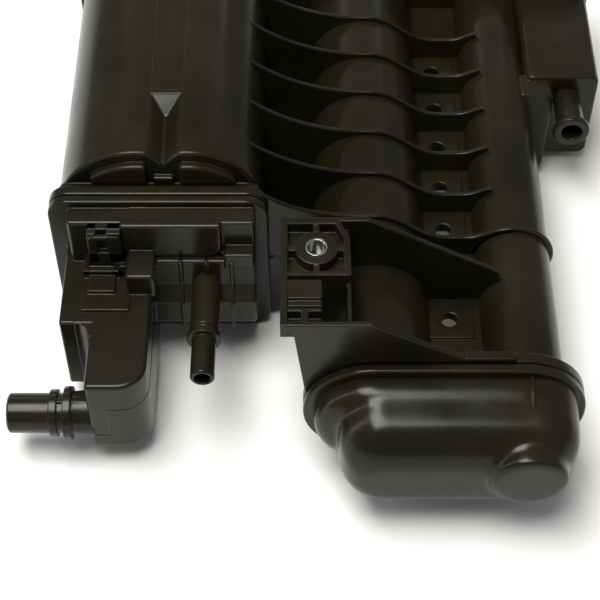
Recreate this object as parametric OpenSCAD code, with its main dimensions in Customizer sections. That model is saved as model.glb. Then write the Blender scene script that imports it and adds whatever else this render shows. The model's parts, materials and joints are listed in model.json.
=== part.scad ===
// Fuel vapour canister: three carbon-filled chambers joined in series, with their
// covers, filters, press plates and springs. +Y is the rear, +Z is up.
// The origin is the centre of the top of the steel mounting bushing.

/* [Walls and ribs] */
// Wall thickness of the moulded shells
wall = 2.2; // [1.6:0.1:3]
// Distance from one cross rib to the next
rib_pitch = 23.2; // [20:0.1:28]
// Thickness of a cross rib
rib_t = 2; // [1.5:0.1:2.5]
// How far a rib stands proud of the middle tube
rib_proud = 2; // [1:0.1:3]

/* [Main chamber] */
// Position of the valley between the two lobes of the main chamber
valley_x = -59.7; // [-75:0.1:-58]
// Radius of the left of the two lobes on top
left_lobe_r = 33; // [28:0.5:36]
// Radius of the right lobe
right_lobe_r = 28.5; // [26:0.5:33]
// Distance between the two lobe centres
lobe_gap = 20.5; // [14:0.5:24]
// Height of the top of both lobes
lobe_top_z = 4.3; // [0:0.1:8]
// Depth of the valley between the lobes
valley_depth = 4.5; // [2:0.5:6]
// Height of the surface that the flanges stand on
floor_z = -88.6; // [-108:0.1:-85]
// Rear face of the moulded body
body_rear_y = 190; // [155:1:230]

/* [Chamber flanges] */
// Width of the front flange of the main chamber
port_flange_w = 86.6; // [84:0.1:95]
// Height of the front flange of the main chamber
port_flange_h = 78.6; // [70:0.1:86]
// Joint plane between the main chamber and the port cover
port_joint_y = 34.8; // [28:0.1:42]
// Corner radius of that flange
port_flange_r = 8.5; // [5:0.5:12]
// Thickness of a flange on the moulded body
body_flange_t = 5; // [4:0.5:6]
// Thickness of a flange on a cover
cover_flange_t = 4; // [3:0.5:5]

/* [Tubes] */
// Height of both tube axes
tube_z = -49.4; // [-52:0.1:-46]
// Position of the middle tube
mid_x = 21.8; // [20:0.1:26]
// Outer radius of the middle tube
mid_r = 23.2; // [20:0.1:24]
// Position of the tail tube
tail_x = 80.5; // [76:0.1:84]
// Outer radius of the tail tube
tail_r = 15.3; // [12.5:0.1:16]
// Joint plane between the tubes and the transfer bowl
bowl_joint_y = -36.6; // [-45:0.1:-33]

/* [Bracket] */
// Front face of the rear gusset plate
gusset_y = 12.6; // [11:0.1:16]
// Thickness of the gusset plates
gusset_t = 2.2; // [1.6:0.1:3]
// Outer radius of the bushing boss
boss_r = 8; // [7:0.1:9.5]
// Height of the bushing
bushing_h = 12; // [9:0.5:16]
// Outer radius of the steel bushing
bushing_r = 4.2; // [4:0.1:5]
// Radius of the bolt hole in the bushing, for an M6 bolt
bolt_hole_r = 3.25; // [2.7:0.05:3.6]

/* [Ports] */
// Outer radius of the load port, the 15.82 mm quick-connect size
load_r = 7.91; // [6:0.01:9]
// Straight length of the load port in front of its first collar
load_len = 16.6; // [15:0.1:24]
// Outer radius of the purge port, the 9.49 mm quick-connect size
purge_r = 4.745; // [3.9:0.005:5.9]
// Straight length of the purge port in front of its collar
purge_len = 18; // [14:0.5:22]
// Outer radius of the vent port's stem
vent_r = 6; // [5:0.1:7]
// Wall thickness of the ports
port_wall = 1.6; // [1.2:0.1:2]

/* [Filling] */
// Thickness of a felt filter
felt_t = 3; // [2:0.5:5]
// Thickness of a perforated plate
plate_t = 2.4; // [2:0.1:4]
// Length that each spring takes up behind its plate
spring_len = 30; // [24:1:36]
// Gap round what slides or drops into a chamber
fit_gap = 0.3; // [0.2:0.05:0.6]

/* [Hidden] */
$fn = 64;

// Overlap that makes a cut pass right through a face
eps = 0.05;
moulding = [0.10, 0.10, 0.09];
felt_color = [0.85, 0.83, 0.76];
carbon_color = [0.05, 0.05, 0.05];
plate_color = [0.75, 0.74, 0.70];
steel_color = [0.72, 0.73, 0.75];

// --- main chamber ---
lobe_r = [left_lobe_r, right_lobe_r];
lobe_x = [valley_x - lobe_gap / 2, valley_x + lobe_gap / 2];
lobe_z = [lobe_top_z - left_lobe_r, lobe_top_z - right_lobe_r];
chamber_left = lobe_x[0] - left_lobe_r;
chamber_right = lobe_x[1] + right_lobe_r;
chamber_x = (chamber_left + chamber_right) / 2;
chamber_half_w = (chamber_right - chamber_left) / 2;
// How far the rear flanges stand out past the chamber, which sets the chamber's floor
rear_edge = 5;
chamber_floor = floor_z + rear_edge;
chamber_corner_r = 13;
valley_half_w = 6.2;
lobe_meet_z = lobe_z[1] + sqrt(right_lobe_r * right_lobe_r - lobe_gap * lobe_gap / 4);
// The barrel starts a neck's length behind the flange
neck_len = 3.7;
neck_inset = 3;
barrel_front_y = port_joint_y + body_flange_t + neck_len;
barrel_inner_y = barrel_front_y + wall;
valley_end_y = barrel_front_y + 33;
valley_slope_len = 8;
port_flange_x = chamber_x;
port_flange_z = floor_z + port_flange_h / 2;

// --- tubes, web and ribs ---
mid_in_r = mid_r - wall;
tail_in_r = tail_r - wall;
collar_r = tail_r + 1.9;
front_rib_y = gusset_y + rib_pitch;
rib_count = floor((body_rear_y - 18 - front_rib_y) / rib_pitch) + 1;
first_rib_left_z = -12.3;
rib_left_z = -3;
rib_low_z = floor_z + 1.4;
rib_crest_z = tube_z + mid_r + rib_proud;
rib_web_z = tube_z + 11.7;
rib_tail_z = tube_z + collar_r;
web_t = 3;
web_top_z = tube_z + 1.4;
web_left = mid_x + mid_r - wall / 2;
web_right = tail_x - tail_r + wall / 2;
web_hole_r = 3.3;
web_hole_x = 53;
pad_w = 19;
pad_len = 18;
pad_h = 1;
// The drain holes lie this far in front of each rib
hole_to_rib = 10.9;

// --- bowl ---
bowl_edge = 3.6;
bowl_right = tail_x + tail_r + 6.5;
bowl_top = tube_z + mid_r + bowl_edge;
bowl_bottom = tube_z - mid_r - bowl_edge;
bowl_corner_r = 26;
bowl_flange_y = bowl_joint_y - cover_flange_t;
bowl_shelf_y = bowl_flange_y - 9.5;
bowl_front_y = bowl_flange_y - 28.5;
dome_front_y = bowl_flange_y - 32;
dome_r = tail_r - 0.6;
dome_x = tail_x - 2;
// The raised tab on the body's side of the bowl flange
flange_tab_x = [tail_x - 26, tail_x - 7];

// --- bracket ---
frame_left = -13.3;
frame_wall = 2.6;
frame_right = 12.7;
frame_front = -13.4;
box_wall = 2;
tray_floor_z = -5;
tray_t = 2;
tray_bottom = tray_floor_z - tray_t;
// The tray's ribs and the bushing's boss stop this far below the top face
boss_drop = 0.3;
tray_rib_t = 2.4;
tray_rib_z = -0.6;
// Width and length of the tray's cut corner
tray_cut = [4.1, 9];
bracket_slope_x = 20;
front_slope_x = mid_x + 34;
rear_slope_x = tail_x - 8;
side_gusset_z = -22;
// The rail that a harness clip slides onto
rail_left = -10.7;
rail_right = 1.9;
rail_front = -23.5;
rail_rear = -14.8;
rail_top = -0.6;
rail_step_z = -2;
rail_step = 2.7;
rail_stem = 2.8;
pocket_front = rail_front - 5.5;

// --- filling: the stack's planes, front to rear ---
tube_seat_y = bowl_joint_y + 9;
seat_lip = 2.4;
rear_dome_y = body_rear_y + 18.5;
press_y = rear_dome_y - wall - spring_len - plate_t;
rear_felt_y = press_y - felt_t;
spring_wire_r = 0.9;

// --- rear cover ---
rear_flange_y = body_rear_y + cover_flange_t;
vent_box_left = tail_x + tail_r - 3;
vent_box_right = tail_x + 45;
vent_box_y = body_rear_y - 64;
vent_box_top = tube_z + 14;
vent_box_bottom = floor_z + rear_edge;
vent_inner_left = vent_box_left + wall + 1.5;
vent_x = tail_x + 32;
vent_z = tube_z + 1;
vent_len = 21;
vent_lip_r = vent_r + 2;

// ---------- shared shapes ----------

// Extrudes a shape drawn in X and Z along Y, from y0 to y1
module along_y(y0, y1) {
  translate([0, y1, 0]) rotate([90, 0, 0]) linear_extrude(height = y1 - y0) children();
}

// A cylinder along Y, from y0 to y1
module rod_y(x, z, r, y0, y1) {
  translate([x, y1, z]) rotate([90, 0, 0]) cylinder(h = y1 - y0, r = r);
}

// A cone along Y, from radius r0 at y0 to r1 at y1
module cone_y(x, z, r0, r1, y0, y1) {
  translate([x, y0, z]) rotate([-90, 0, 0]) cylinder(h = y1 - y0, r1 = r0, r2 = r1);
}

// A rectangle from its corners, with round corners
module round_box(x0, x1, z0, z1, r) {
  translate([x0 + r, z0]) square([x1 - x0 - 2 * r, z1 - z0]);
  translate([x0, z0 + r]) square([x1 - x0, z1 - z0 - 2 * r]);
  for (x = [x0 + r, x1 - r], z = [z0 + r, z1 - r]) translate([x, z]) circle(r = r);
}

// A box from its lowest and highest corners
module block(a, b) {
  translate(a) cube([b[0] - a[0], b[1] - a[1], b[2] - a[2]]);
}

// Cross-section of the main chamber, taken in by inset all round
module chamber_section(inset) {
  r = chamber_corner_r - inset;
  difference() {
    union() {
      for (i = [0, 1]) translate([lobe_x[i], lobe_z[i]]) circle(r = lobe_r[i] - inset);
      translate([chamber_left + inset + r, chamber_floor + inset])
        square([chamber_right - chamber_left - 2 * (inset + r), r]);
      for (x = [chamber_left + inset + r, chamber_right - inset - r])
        translate([x, chamber_floor + inset + r]) circle(r = r);
      translate([0, chamber_floor + inset + r]) polygon([
        [chamber_left + inset, 0], [chamber_right - inset, 0],
        [chamber_right - inset, lobe_z[1] - chamber_floor - inset - r],
        [lobe_x[1], lobe_z[1] - chamber_floor - inset - r],
        [lobe_x[1], lobe_meet_z - chamber_floor - 2 * inset - r],
        [lobe_x[0], lobe_meet_z - chamber_floor - 2 * inset - r],
        [lobe_x[0], lobe_z[0] - chamber_floor - inset - r],
        [chamber_left + inset, lobe_z[0] - chamber_floor - inset - r]]);
    }
    if (inset > 0) valley_section(inset);
  }
}

// The valley between the lobes
module valley_section(inset) {
  half_w = valley_half_w + inset;
  bottom = lobe_meet_z - valley_depth - inset;
  polygon([[valley_x, bottom], [valley_x + half_w, bottom + valley_depth + inset + 0.8],
    [valley_x + half_w, lobe_top_z + 1], [valley_x - half_w, lobe_top_z + 1],
    [valley_x - half_w, bottom + valley_depth + inset + 0.8]]);
}

// Outline of the front flange of the main chamber
module port_flange_section(inset) {
  round_box(port_flange_x - port_flange_w / 2 + inset, port_flange_x + port_flange_w / 2 - inset,
    port_flange_z - port_flange_h / 2 + inset, port_flange_z + port_flange_h / 2 - inset,
    port_flange_r - min(inset, port_flange_r - 2));
}

// Outline of the flange that the bowl is welded to: round on the left, cornered on the right
module bowl_section(inset) {
  left_r = mid_r + bowl_edge - inset;
  right_r = bowl_corner_r - inset;
  translate([mid_x, tube_z]) circle(r = left_r);
  translate([mid_x, bowl_bottom + inset])
    square([bowl_right - bowl_corner_r - mid_x, bowl_top - bowl_bottom - 2 * inset]);
  round_box(mid_x, bowl_right - inset, bowl_bottom + inset, bowl_top - inset, right_r);
}

// Outline of the rear flange: the chamber, the two tubes and the vent box
module rear_section(inset) {
  chamber_section(inset - rear_edge);
  round_box(chamber_left - rear_edge + inset, vent_box_right + 2 - inset, floor_z + inset,
    tube_z + mid_r + rear_edge - inset, 12 - min(inset, 8));
}

// A round pattern of holes along Y, in rings
module hole_rings(x, z, reach, y0, y1) {
  pitch = 4.4;
  hole_r = 1.4;
  rod_y(x, z, hole_r, y0, y1);
  for (ring = [1 : floor((reach - hole_r - 1) / pitch)], i = [0 : 6 * ring - 1]) {
    a = 360 * i / (6 * ring);
    rod_y(x + ring * pitch * cos(a), z + ring * pitch * sin(a), hole_r, y0, y1);
  }
}

// A square pattern of holes along Y over the main chamber
module chamber_holes(y0, y1) {
  pitch = 9;
  nx = floor((chamber_half_w - 8) / pitch);
  low = chamber_floor + 9;
  nz = floor((lobe_meet_z - valley_depth - 12 - low) / pitch);
  for (i = [-nx : nx], j = [0 : nz]) rod_y(chamber_x + i * pitch, low + j * pitch, 2.2, y0, y1);
}

// A wire spring along Y, as one swept tube with flat-lying end turns
module coil_spring(x, z, r, y0, y1, turns) {
  sides = 6;
  per_turn = 18;
  steps = turns * per_turn;
  run = y1 - y0 - 2 * spring_wire_r;
  function rise(t) = run * (1 - cos(180 * t)) / 2;
  rings = [for (i = [0 : steps]) let (t = i / steps, a = 360 * turns * t)
    [for (k = [0 : sides - 1]) let (q = 360 * (k + 0.5) / sides, rr = r + spring_wire_r * cos(q))
      [x + rr * cos(a), y0 + spring_wire_r + rise(t) + spring_wire_r * sin(q), z + rr * sin(a)]]];
  points = [for (ring = rings) for (p = ring) p];
  walls = [for (i = [0 : steps - 1], k = [0 : sides - 1])
    [i * sides + k, (i + 1) * sides + k, (i + 1) * sides + (k + 1) % sides,
      i * sides + (k + 1) % sides]];
  caps = [[for (k = [0 : sides - 1]) k], [for (k = [sides - 1 : -1 : 0]) steps * sides + k]];
  polyhedron(points = points, faces = concat(walls, caps));
}

// ---------- moulded body ----------

// Height of a cross rib's top edge at x; the rib leaves the chamber at x0, height z0
function ease(t) = (1 - cos(180 * max(0, min(1, t)))) / 2;
function rib_top(x, x0, z0, power) =
  x < mid_x ? rib_crest_z + (z0 - rib_crest_z) * pow((mid_x - x) / (mid_x - x0), power)
  : x < web_hole_x + 5 ? rib_crest_z + (rib_web_z - rib_crest_z)
      * ease((x - mid_x - 3) / (web_hole_x - mid_x - 3))
  : rib_web_z + (rib_tail_z - rib_web_z) * ease((x - web_hole_x - 8) / (tail_x - web_hole_x - 10));

// Outline of one cross rib, the same above and below the tube axes
module rib_section(x0, x1, z0, power) {
  steps = 22;
  low0 = 2 * tube_z - rib_low_z;
  xs = [for (i = [0 : steps]) x0 + (x1 - x0) * i / steps];
  top = [for (x = xs) [x, rib_top(x, x0, z0, power)]];
  bottom = [for (i = [steps : -1 : 0]) [xs[i], 2 * tube_z - rib_top(xs[i], x0, low0, power)]];
  polygon(concat(top, bottom));
}

// All the cross ribs, with the collar round the tail tube on the first
module cross_ribs() {
  for (i = [0 : rib_count - 1]) {
    y = front_rib_y + i * rib_pitch;
    first = i == 0;
    x0 = first ? chamber_right + 1 : chamber_right - 10;
    x1 = first ? tail_x : tail_x - tail_r / 2;
    along_y(y, y + rib_t)
      rib_section(x0, x1, first ? first_rib_left_z : rib_left_z, first ? 2.8 : 2.2);
  }
  rod_y(tail_x, tube_z, collar_r, front_rib_y, front_rib_y + rib_t);
}

// Pads with a drain hole, one in front of each rib
module web_pads() {
  for (i = [-1 : rib_count - 1]) {
    y = front_rib_y + i * rib_pitch - hole_to_rib;
    block([web_hole_x - pad_w / 2, y - pad_len / 2, web_top_z - eps],
      [web_hole_x + pad_w / 2, y + pad_len / 2, web_top_z + pad_h]);
  }
}

// The two gusset plates that carry the bracket: the rear one reaches the tail tube,
// and the front one lies in the plane of the bowl flange
module gussets() {
  along_y(gusset_y, gusset_y + gusset_t)
    polygon([[frame_left, 0], [bracket_slope_x, 0], [rear_slope_x, tube_z + 18],
      [rear_slope_x, tube_z], [mid_x, tube_z], [frame_left + 12, tube_z + 14],
      [frame_left, tray_bottom]]);
  along_y(bowl_joint_y, bowl_joint_y + gusset_t)
    polygon([[frame_left, 0], [bracket_slope_x, 0], [front_slope_x, bowl_top + 1],
      [front_slope_x, tube_z], [mid_x - mid_r - 2, tube_z], [frame_left + 4.8, -5.5],
      [frame_left, -4]]);
}

// Reach of a tray rib, from the bushing's axis to the tray's wall on that side
function tray_reach(angle) =
  angle == 0 ? frame_right - 1 : angle == 90 ? gusset_y - 0.5
  : angle == 180 ? -frame_left - 1 : -frame_front - 1;

// Tray round the bushing, with its walls, one cut corner and four short ribs
module tray() {
  back = gusset_y + 1;
  root_z = tray_floor_z - 1;
  cut_x = frame_right - tray_cut[0];
  cut_y = back - tray_cut[1];
  block([frame_left, bowl_joint_y, tray_bottom], [frame_left + frame_wall, back, 0]);
  translate([0, 0, tray_bottom]) linear_extrude(height = tray_t)
    polygon([[frame_left, frame_front], [frame_right, frame_front], [frame_right, cut_y],
      [cut_x, back], [frame_left, back]]);
  block([frame_right - frame_wall, frame_front, root_z], [frame_right, cut_y, 0]);
  block([frame_left, frame_front, root_z], [frame_right, frame_front + box_wall, 0]);
  block([frame_left, gusset_y - 1.2, root_z], [cut_x, back, 0]);
  translate([0, 0, root_z]) linear_extrude(height = -root_z)
    polygon([[frame_right, cut_y], [cut_x, back], [cut_x - box_wall, back - 0.9],
      [frame_right - box_wall, cut_y - 0.9]]);
  translate([0, 0, -bushing_h]) cylinder(h = bushing_h - boss_drop, r = boss_r);
  for (angle = [0 : 90 : 270]) rotate([0, 0, angle])
    block([boss_r - 1, -tray_rib_t / 2, root_z], [tray_reach(angle), tray_rib_t / 2, tray_rib_z]);
  // short gusset between the tray and the front plate
  block([frame_right - 1.4, bowl_joint_y + 1, side_gusset_z], [frame_right, back, tray_floor_z]);
}

// T-shaped rail in front of the tray: a wide cap on a narrow stem
module clip_rail() {
  root_z = tray_floor_z - 1;
  left = rail_left - 1;
  middle = (rail_left + rail_right) / 2;
  block([left, rail_front, tray_bottom], [rail_right, rail_rear, rail_top]);
  block([left, rail_front - rail_step, tray_bottom], [rail_right, rail_front + 1, rail_step_z]);
  block([left, bowl_joint_y, tray_bottom], [rail_right, rail_front, tray_floor_z]);
  block([middle - rail_stem / 2, bowl_joint_y, root_z],
    [middle + rail_stem / 2, pocket_front, rail_top]);
  block([rail_left, pocket_front - 0.5, root_z], [rail_right, pocket_front + 1.1, rail_top]);
}

module bracket() {
  gussets();
  tray();
  clip_rail();
}

// Raised crescent on the barrel's front face, over the flange; side is -1 or 1
module crescent(side) {
  i = side < 0 ? 0 : 1;
  low = port_flange_z + port_flange_h / 2 - 5;
  along_y(barrel_front_y - 3, barrel_front_y + eps) intersection() {
    translate([lobe_x[i], lobe_z[i] - 1]) circle(r = lobe_r[i] - 4);
    polygon([[valley_x + side * 5, low], [valley_x + side * 7.5, lobe_top_z - 4],
      [valley_x + side * 28, lobe_top_z - 4], [valley_x + side * 29, low]]);
  }
}

// Vent box beside the tail tube, with its port
module vent_box_outer() {
  tip_y = vent_box_y - vent_len;
  lip_w = 2.5;
  along_y(vent_box_y, body_rear_y)
    round_box(vent_box_left, vent_box_right, vent_box_bottom, vent_box_top, 4);
  // shoulder that joins the box to the tail tube
  along_y(vent_box_y - 9, vent_box_y + 4)
    round_box(vent_box_left - 4, vent_box_left + 12, vent_box_bottom, vent_box_top - 2, 3);
  rod_y(vent_x, vent_z, vent_r, tip_y, vent_box_y + 1);
  rod_y(vent_x, vent_z, vent_lip_r, tip_y, tip_y + lip_w);
  cone_y(vent_x, vent_z, vent_lip_r, vent_r, tip_y + lip_w, tip_y + 2 * lip_w);
}

module body_outer() {
  // main chamber
  difference() {
    along_y(barrel_front_y, body_rear_y) chamber_section(0);
    along_y(barrel_front_y - 1, valley_end_y) valley_section(0);
  }
  valley_bridge();
  along_y(port_joint_y, port_joint_y + body_flange_t) port_flange_section(0);
  along_y(port_joint_y + 1, barrel_front_y + 1) port_flange_section(neck_inset);
  for (side = [-1, 1]) crescent(side);
  block([valley_x - 4, barrel_front_y - 2, port_flange_z],
    [valley_x + 4, barrel_front_y + 1, port_flange_z + port_flange_h / 2 + 2]);
  // tubes, web and ribs
  rod_y(mid_x, tube_z, mid_r, bowl_joint_y, body_rear_y);
  rod_y(tail_x, tube_z, tail_r, bowl_joint_y, body_rear_y);
  block([web_left, bowl_joint_y, web_top_z - web_t], [web_right, body_rear_y, web_top_z]);
  block([chamber_right - 2, front_rib_y, web_top_z - web_t],
    [mid_x - mid_r + wall / 2, body_rear_y, web_top_z]);
  web_pads();
  cross_ribs();
  // flanges
  along_y(bowl_joint_y, bowl_joint_y + body_flange_t) bowl_section(0);
  block([flange_tab_x[0], bowl_joint_y, bowl_top - 2],
    [flange_tab_x[1], bowl_joint_y + body_flange_t - 1, bowl_top + 2]);
  along_y(body_rear_y - body_flange_t, body_rear_y) rear_section(0);
  bracket();
  vent_box_outer();
}

// Flat bridge between the lobes behind the valley, with a sloping front
module valley_bridge() {
  half_w = valley_half_w;
  top = lobe_top_z - 0.35;
  low = lobe_meet_z - valley_depth - 1;
  block([valley_x - half_w, valley_end_y, low], [valley_x + half_w, body_rear_y, top]);
  polyhedron(
    points = [[valley_x - half_w, valley_end_y, low], [valley_x + half_w, valley_end_y, low],
      [valley_x + half_w, valley_end_y, top], [valley_x - half_w, valley_end_y, top],
      [valley_x, valley_end_y - valley_slope_len, low + 1]],
    faces = [[3, 2, 1, 0], [0, 1, 4], [1, 2, 4], [2, 3, 4], [3, 0, 4]]);
}

module canister_body() {
  color(moulding) difference() {
    body_outer();
    // inside of the main chamber and its neck
    along_y(barrel_inner_y, body_rear_y + 1) chamber_section(wall);
    along_y(port_joint_y - 1, barrel_inner_y + eps) port_flange_section(neck_inset + wall);
    // inside of the tubes, with a seat lip at the front
    rod_y(mid_x, tube_z, mid_in_r - seat_lip, bowl_joint_y - 1, tube_seat_y + eps);
    rod_y(mid_x, tube_z, mid_in_r, tube_seat_y, body_rear_y + 1);
    rod_y(tail_x, tube_z, tail_in_r - seat_lip, bowl_joint_y - 1, tube_seat_y + eps);
    rod_y(tail_x, tube_z, tail_in_r, tube_seat_y, body_rear_y + 1);
    // inside of the vent box, the bore of its port
    along_y(vent_box_y + wall, body_rear_y + 1)
      round_box(vent_inner_left, vent_box_right - wall, vent_box_bottom + wall,
        vent_box_top - wall, 2);
    rod_y(vent_x, vent_z, vent_r - port_wall, vent_box_y - vent_len - 1, vent_box_y + wall + 1);
    // drain holes in the web and the hole for the bushing
    for (i = [-1 : rib_count - 1])
      translate([web_hole_x, front_rib_y + i * rib_pitch - hole_to_rib, web_top_z - web_t - 1])
        cylinder(h = web_t + pad_h + 2, r = web_hole_r);
    translate([0, 0, -bushing_h - 1]) cylinder(h = bushing_h + 2, r = bushing_r);
  }
}

// ---------- port cover ----------
cover_inset = 8.5;
cover_front_y = port_joint_y - 12.2;
cover_left = port_flange_x - port_flange_w / 2 + cover_inset;
cover_right = port_flange_x + port_flange_w / 2 - cover_inset + 3.4;
cover_top = port_flange_z + port_flange_h / 2 - 3;
ledge_z = cover_top - 17;
ledge_y = cover_front_y - 5.3;
apron_y = ledge_y - 5.4;
apron_top = ledge_z - 13.8;
apron_bottom = ledge_z - 32;
cover_bottom = port_flange_z - port_flange_h / 2 + 5;
elbow_top = cover_top - 23;
elbow_bottom = elbow_top - 40.4;
elbow_left = cover_left + 9.3;
elbow_right = elbow_left + 23.2;
elbow_front = ledge_y - 56;
elbow_corner_r = 11;
panel_left = elbow_left + 11.5;
panel_proud = 3;
hump_left = elbow_left + 13.6;
hump_right = elbow_right + 1.6;
hump_front = ledge_y - 11.5;
hump_top = elbow_top + 10.5;
fin_t = 1.4;
fin_proud = 1.2;
left_box_left = elbow_left - 12;
left_box_front = elbow_front + 30.4;
load_z = elbow_bottom + load_r + 2.4;
load_y = elbow_front + load_r + 1;
load_collar_r = [load_r + 1.45, load_r + 2.6];
load_neck = 7.8;
collar_t = 3;
collar_gap = 2.6;
load_tip_x = elbow_left - load_neck - 2 * collar_t - collar_gap - load_len;
purge_x = port_flange_x + 18.6;
purge_z = apron_top + 1.4;
panel_right = purge_x + 6.6;
side_block_left = purge_x + 7.5;
purge_collar_r = purge_r + 1.95;
purge_tip_y = apron_y - 24 - purge_len;
fin_x = [purge_x - 9.8, purge_x + 0.3, purge_x + 10.3];

// Side profile of the stepped right half of the cover, as [y, z]
module stepped_front(x0, x1, d) {
  translate([x0, 0, 0]) rotate([90, 0, 90]) linear_extrude(height = x1 - x0)
    polygon([[port_joint_y - 2, cover_top - d], [cover_front_y + d, cover_top - d],
      [cover_front_y + d, ledge_z - d], [ledge_y + d, ledge_z - d], [ledge_y + d, apron_top],
      [apron_y + d, apron_top - 5.4], [apron_y + d, apron_bottom + d],
      [port_joint_y - 4, cover_bottom + d], [port_joint_y - 2, cover_bottom + d]]);
}

// Thin fin that follows the stepped front and ends a little below its lower edge
module fin(x) {
  front = [ledge_y - fin_proud, apron_y - fin_proud];
  translate([x - fin_t / 2, 0, 0]) rotate([90, 0, 90]) linear_extrude(height = fin_t)
    polygon([[port_joint_y - 5, ledge_z], [front[0], ledge_z], [front[0], apron_top],
      [front[1], apron_top - 5.4], [front[1], apron_bottom - 2],
      [port_joint_y - 5, apron_bottom - 14]]);
}

// Vertical duct with one round front corner, from the cover to the load port
module elbow_section(inset) {
  polygon([[elbow_left + inset, elbow_front + inset],
    [elbow_right - elbow_corner_r, elbow_front + inset],
    [elbow_right - inset, elbow_front + elbow_corner_r],
    [elbow_right - inset, port_joint_y - 3], [elbow_left + inset, port_joint_y - 3]]);
  translate([elbow_right - elbow_corner_r, elbow_front + elbow_corner_r]) intersection() {
    circle(r = elbow_corner_r - inset);
    translate([0, -elbow_corner_r]) square(elbow_corner_r);
  }
}

module cover_outer() {
  along_y(port_joint_y - cover_flange_t, port_joint_y) port_flange_section(0);
  stepped_front(elbow_left - 4, cover_right, 0);
  // the taller left part, from the flange to the elbow
  block([cover_left, cover_front_y, cover_bottom], [elbow_right - 1, port_joint_y - 1, cover_top]);
  block([left_box_left, left_box_front, elbow_bottom], [elbow_left + 2, port_joint_y - 2, elbow_top]);
  translate([0, 0, elbow_bottom]) linear_extrude(height = elbow_top - elbow_bottom)
    elbow_section(0);
  // raised panel and the block beside it
  block([panel_left, cover_front_y - panel_proud, ledge_z + 0.5],
    [panel_right, cover_front_y + 1, cover_top + panel_proud / 2]);
  block([side_block_left, ledge_y - 0.4, ledge_z - 4],
    [cover_right - 0.5, cover_front_y + 1, ledge_z + 4.2]);
  // hump over the start of the elbow
  block([hump_left, hump_front, elbow_top - 2], [hump_right, cover_front_y + 1, hump_top]);
  for (x = fin_x) fin(x);
}

// Two moulded hose clips on the left part of the cover
module cover_clips() {
  x0 = elbow_left - 1.2;
  x1 = elbow_left + 12;
  // upper clip: a frame with a slot
  difference() {
    block([x0, cover_front_y - 5, ledge_z - 1], [x1, cover_front_y + 1, cover_top - 0.5]);
    block([x0 + 3.6, cover_front_y - 6, ledge_z + 5], [x1 - 5.6, cover_front_y - 2.5, cover_top + 1]);
  }
  // lower clip: a bridge, a tongue and a foot on the elbow
  difference() {
    block([x0 - 2.6, ledge_y - 4, elbow_top - 1], [x1 - 1.6, cover_front_y + 1, ledge_z - 1]);
    block([x0, ledge_y - 5, elbow_top], [x1 - 4.2, ledge_y - 1.5, ledge_z - 3.4]);
  }
  block([x0 - 0.4, ledge_y - 12, elbow_top - 1], [x1 - 3, ledge_y + 1, elbow_top + 2.6]);
  block([x0 - 2.6, ledge_y - 20, elbow_top - 1], [x1 + 3, ledge_y - 3, elbow_top + 1]);
  block([x1 - 1.6, ledge_y - 2, elbow_top + 1], [x1 + 1, cover_front_y + 1, elbow_top + 5.4]);
}

// Load port: straight end, two collars and a neck, along -X
module load_port() {
  second_collar = load_len + collar_t + collar_gap;
  translate([load_tip_x, load_y, load_z]) rotate([0, 90, 0]) {
    cylinder(h = elbow_left - load_tip_x + 2, r = load_r);
    translate([0, 0, load_len]) cylinder(h = collar_t, r = load_collar_r[0]);
    translate([0, 0, second_collar]) cylinder(h = collar_t, r = load_collar_r[1]);
  }
  // key between the two collars
  block([load_tip_x + load_len + 1, load_y - 1, load_z + load_r - 1],
    [elbow_left + 1, load_y + 1, load_z + load_r + 1]);
}

// Purge port: straight end, one collar and a stepped stem, along -Y
module purge_port() {
  collar_y = purge_tip_y + purge_len;
  rod_y(purge_x, purge_z, purge_r, purge_tip_y, ledge_y + 1);
  rod_y(purge_x, purge_z, purge_collar_r, collar_y, collar_y + 2.6);
  rod_y(purge_x, purge_z, purge_r + 0.9, collar_y + 4.4, ledge_y + 1);
}

module port_cover() {
  color(moulding) difference() {
    union() {
      cover_outer();
      cover_clips();
      load_port();
      purge_port();
    }
    // plenum behind the stepped front, the elbow and the left box
    stepped_front(elbow_left + wall, cover_right - wall, wall);
    block([cover_left + wall, cover_front_y + wall, cover_bottom + wall],
      [elbow_right - 1 - wall, port_joint_y + 1, cover_top - wall]);
    along_y(port_joint_y - 3, port_joint_y + 1) port_flange_section(neck_inset + wall);
    translate([0, 0, elbow_bottom + wall]) linear_extrude(height = elbow_top - elbow_bottom - 2 * wall)
      elbow_section(wall);
    block([left_box_left + wall, left_box_front + wall, elbow_bottom + wall],
      [elbow_left + wall + 1, port_joint_y - 1, elbow_top - wall]);
    // bores of the two ports
    translate([load_tip_x - 1, load_y, load_z]) rotate([0, 90, 0])
      cylinder(h = elbow_left - load_tip_x + wall + 2, r = load_r - port_wall);
    rod_y(purge_x, purge_z, purge_r - port_wall, purge_tip_y - 1, ledge_y + wall + 2);
  }
}

// ---------- transfer bowl ----------

// Shell of the bowl, taken in by d
module bowl_form(d) {
  $fn = 32;
  hull() {
    along_y(bowl_flange_y - 3, bowl_joint_y - 1) bowl_section(bowl_edge + d);
    along_y(bowl_shelf_y + d, bowl_joint_y - 1) bowl_section(bowl_edge + 5 + d);
  }
  hull() {
    along_y(bowl_flange_y - 1, bowl_joint_y - 1) deep_section(d, 0);
    along_y(bowl_front_y + 14, bowl_front_y + 17) deep_section(d, 3.2);
    along_y(bowl_front_y + 5 + d, bowl_front_y + 9) deep_section(2.5 + d, 6.2);
    along_y(bowl_front_y + d, bowl_front_y + 4) deep_section(8 + d, 9);
  }
  rod_y(dome_x, tube_z, dome_r - d, dome_front_y + d, bowl_joint_y - 1);
}

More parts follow.
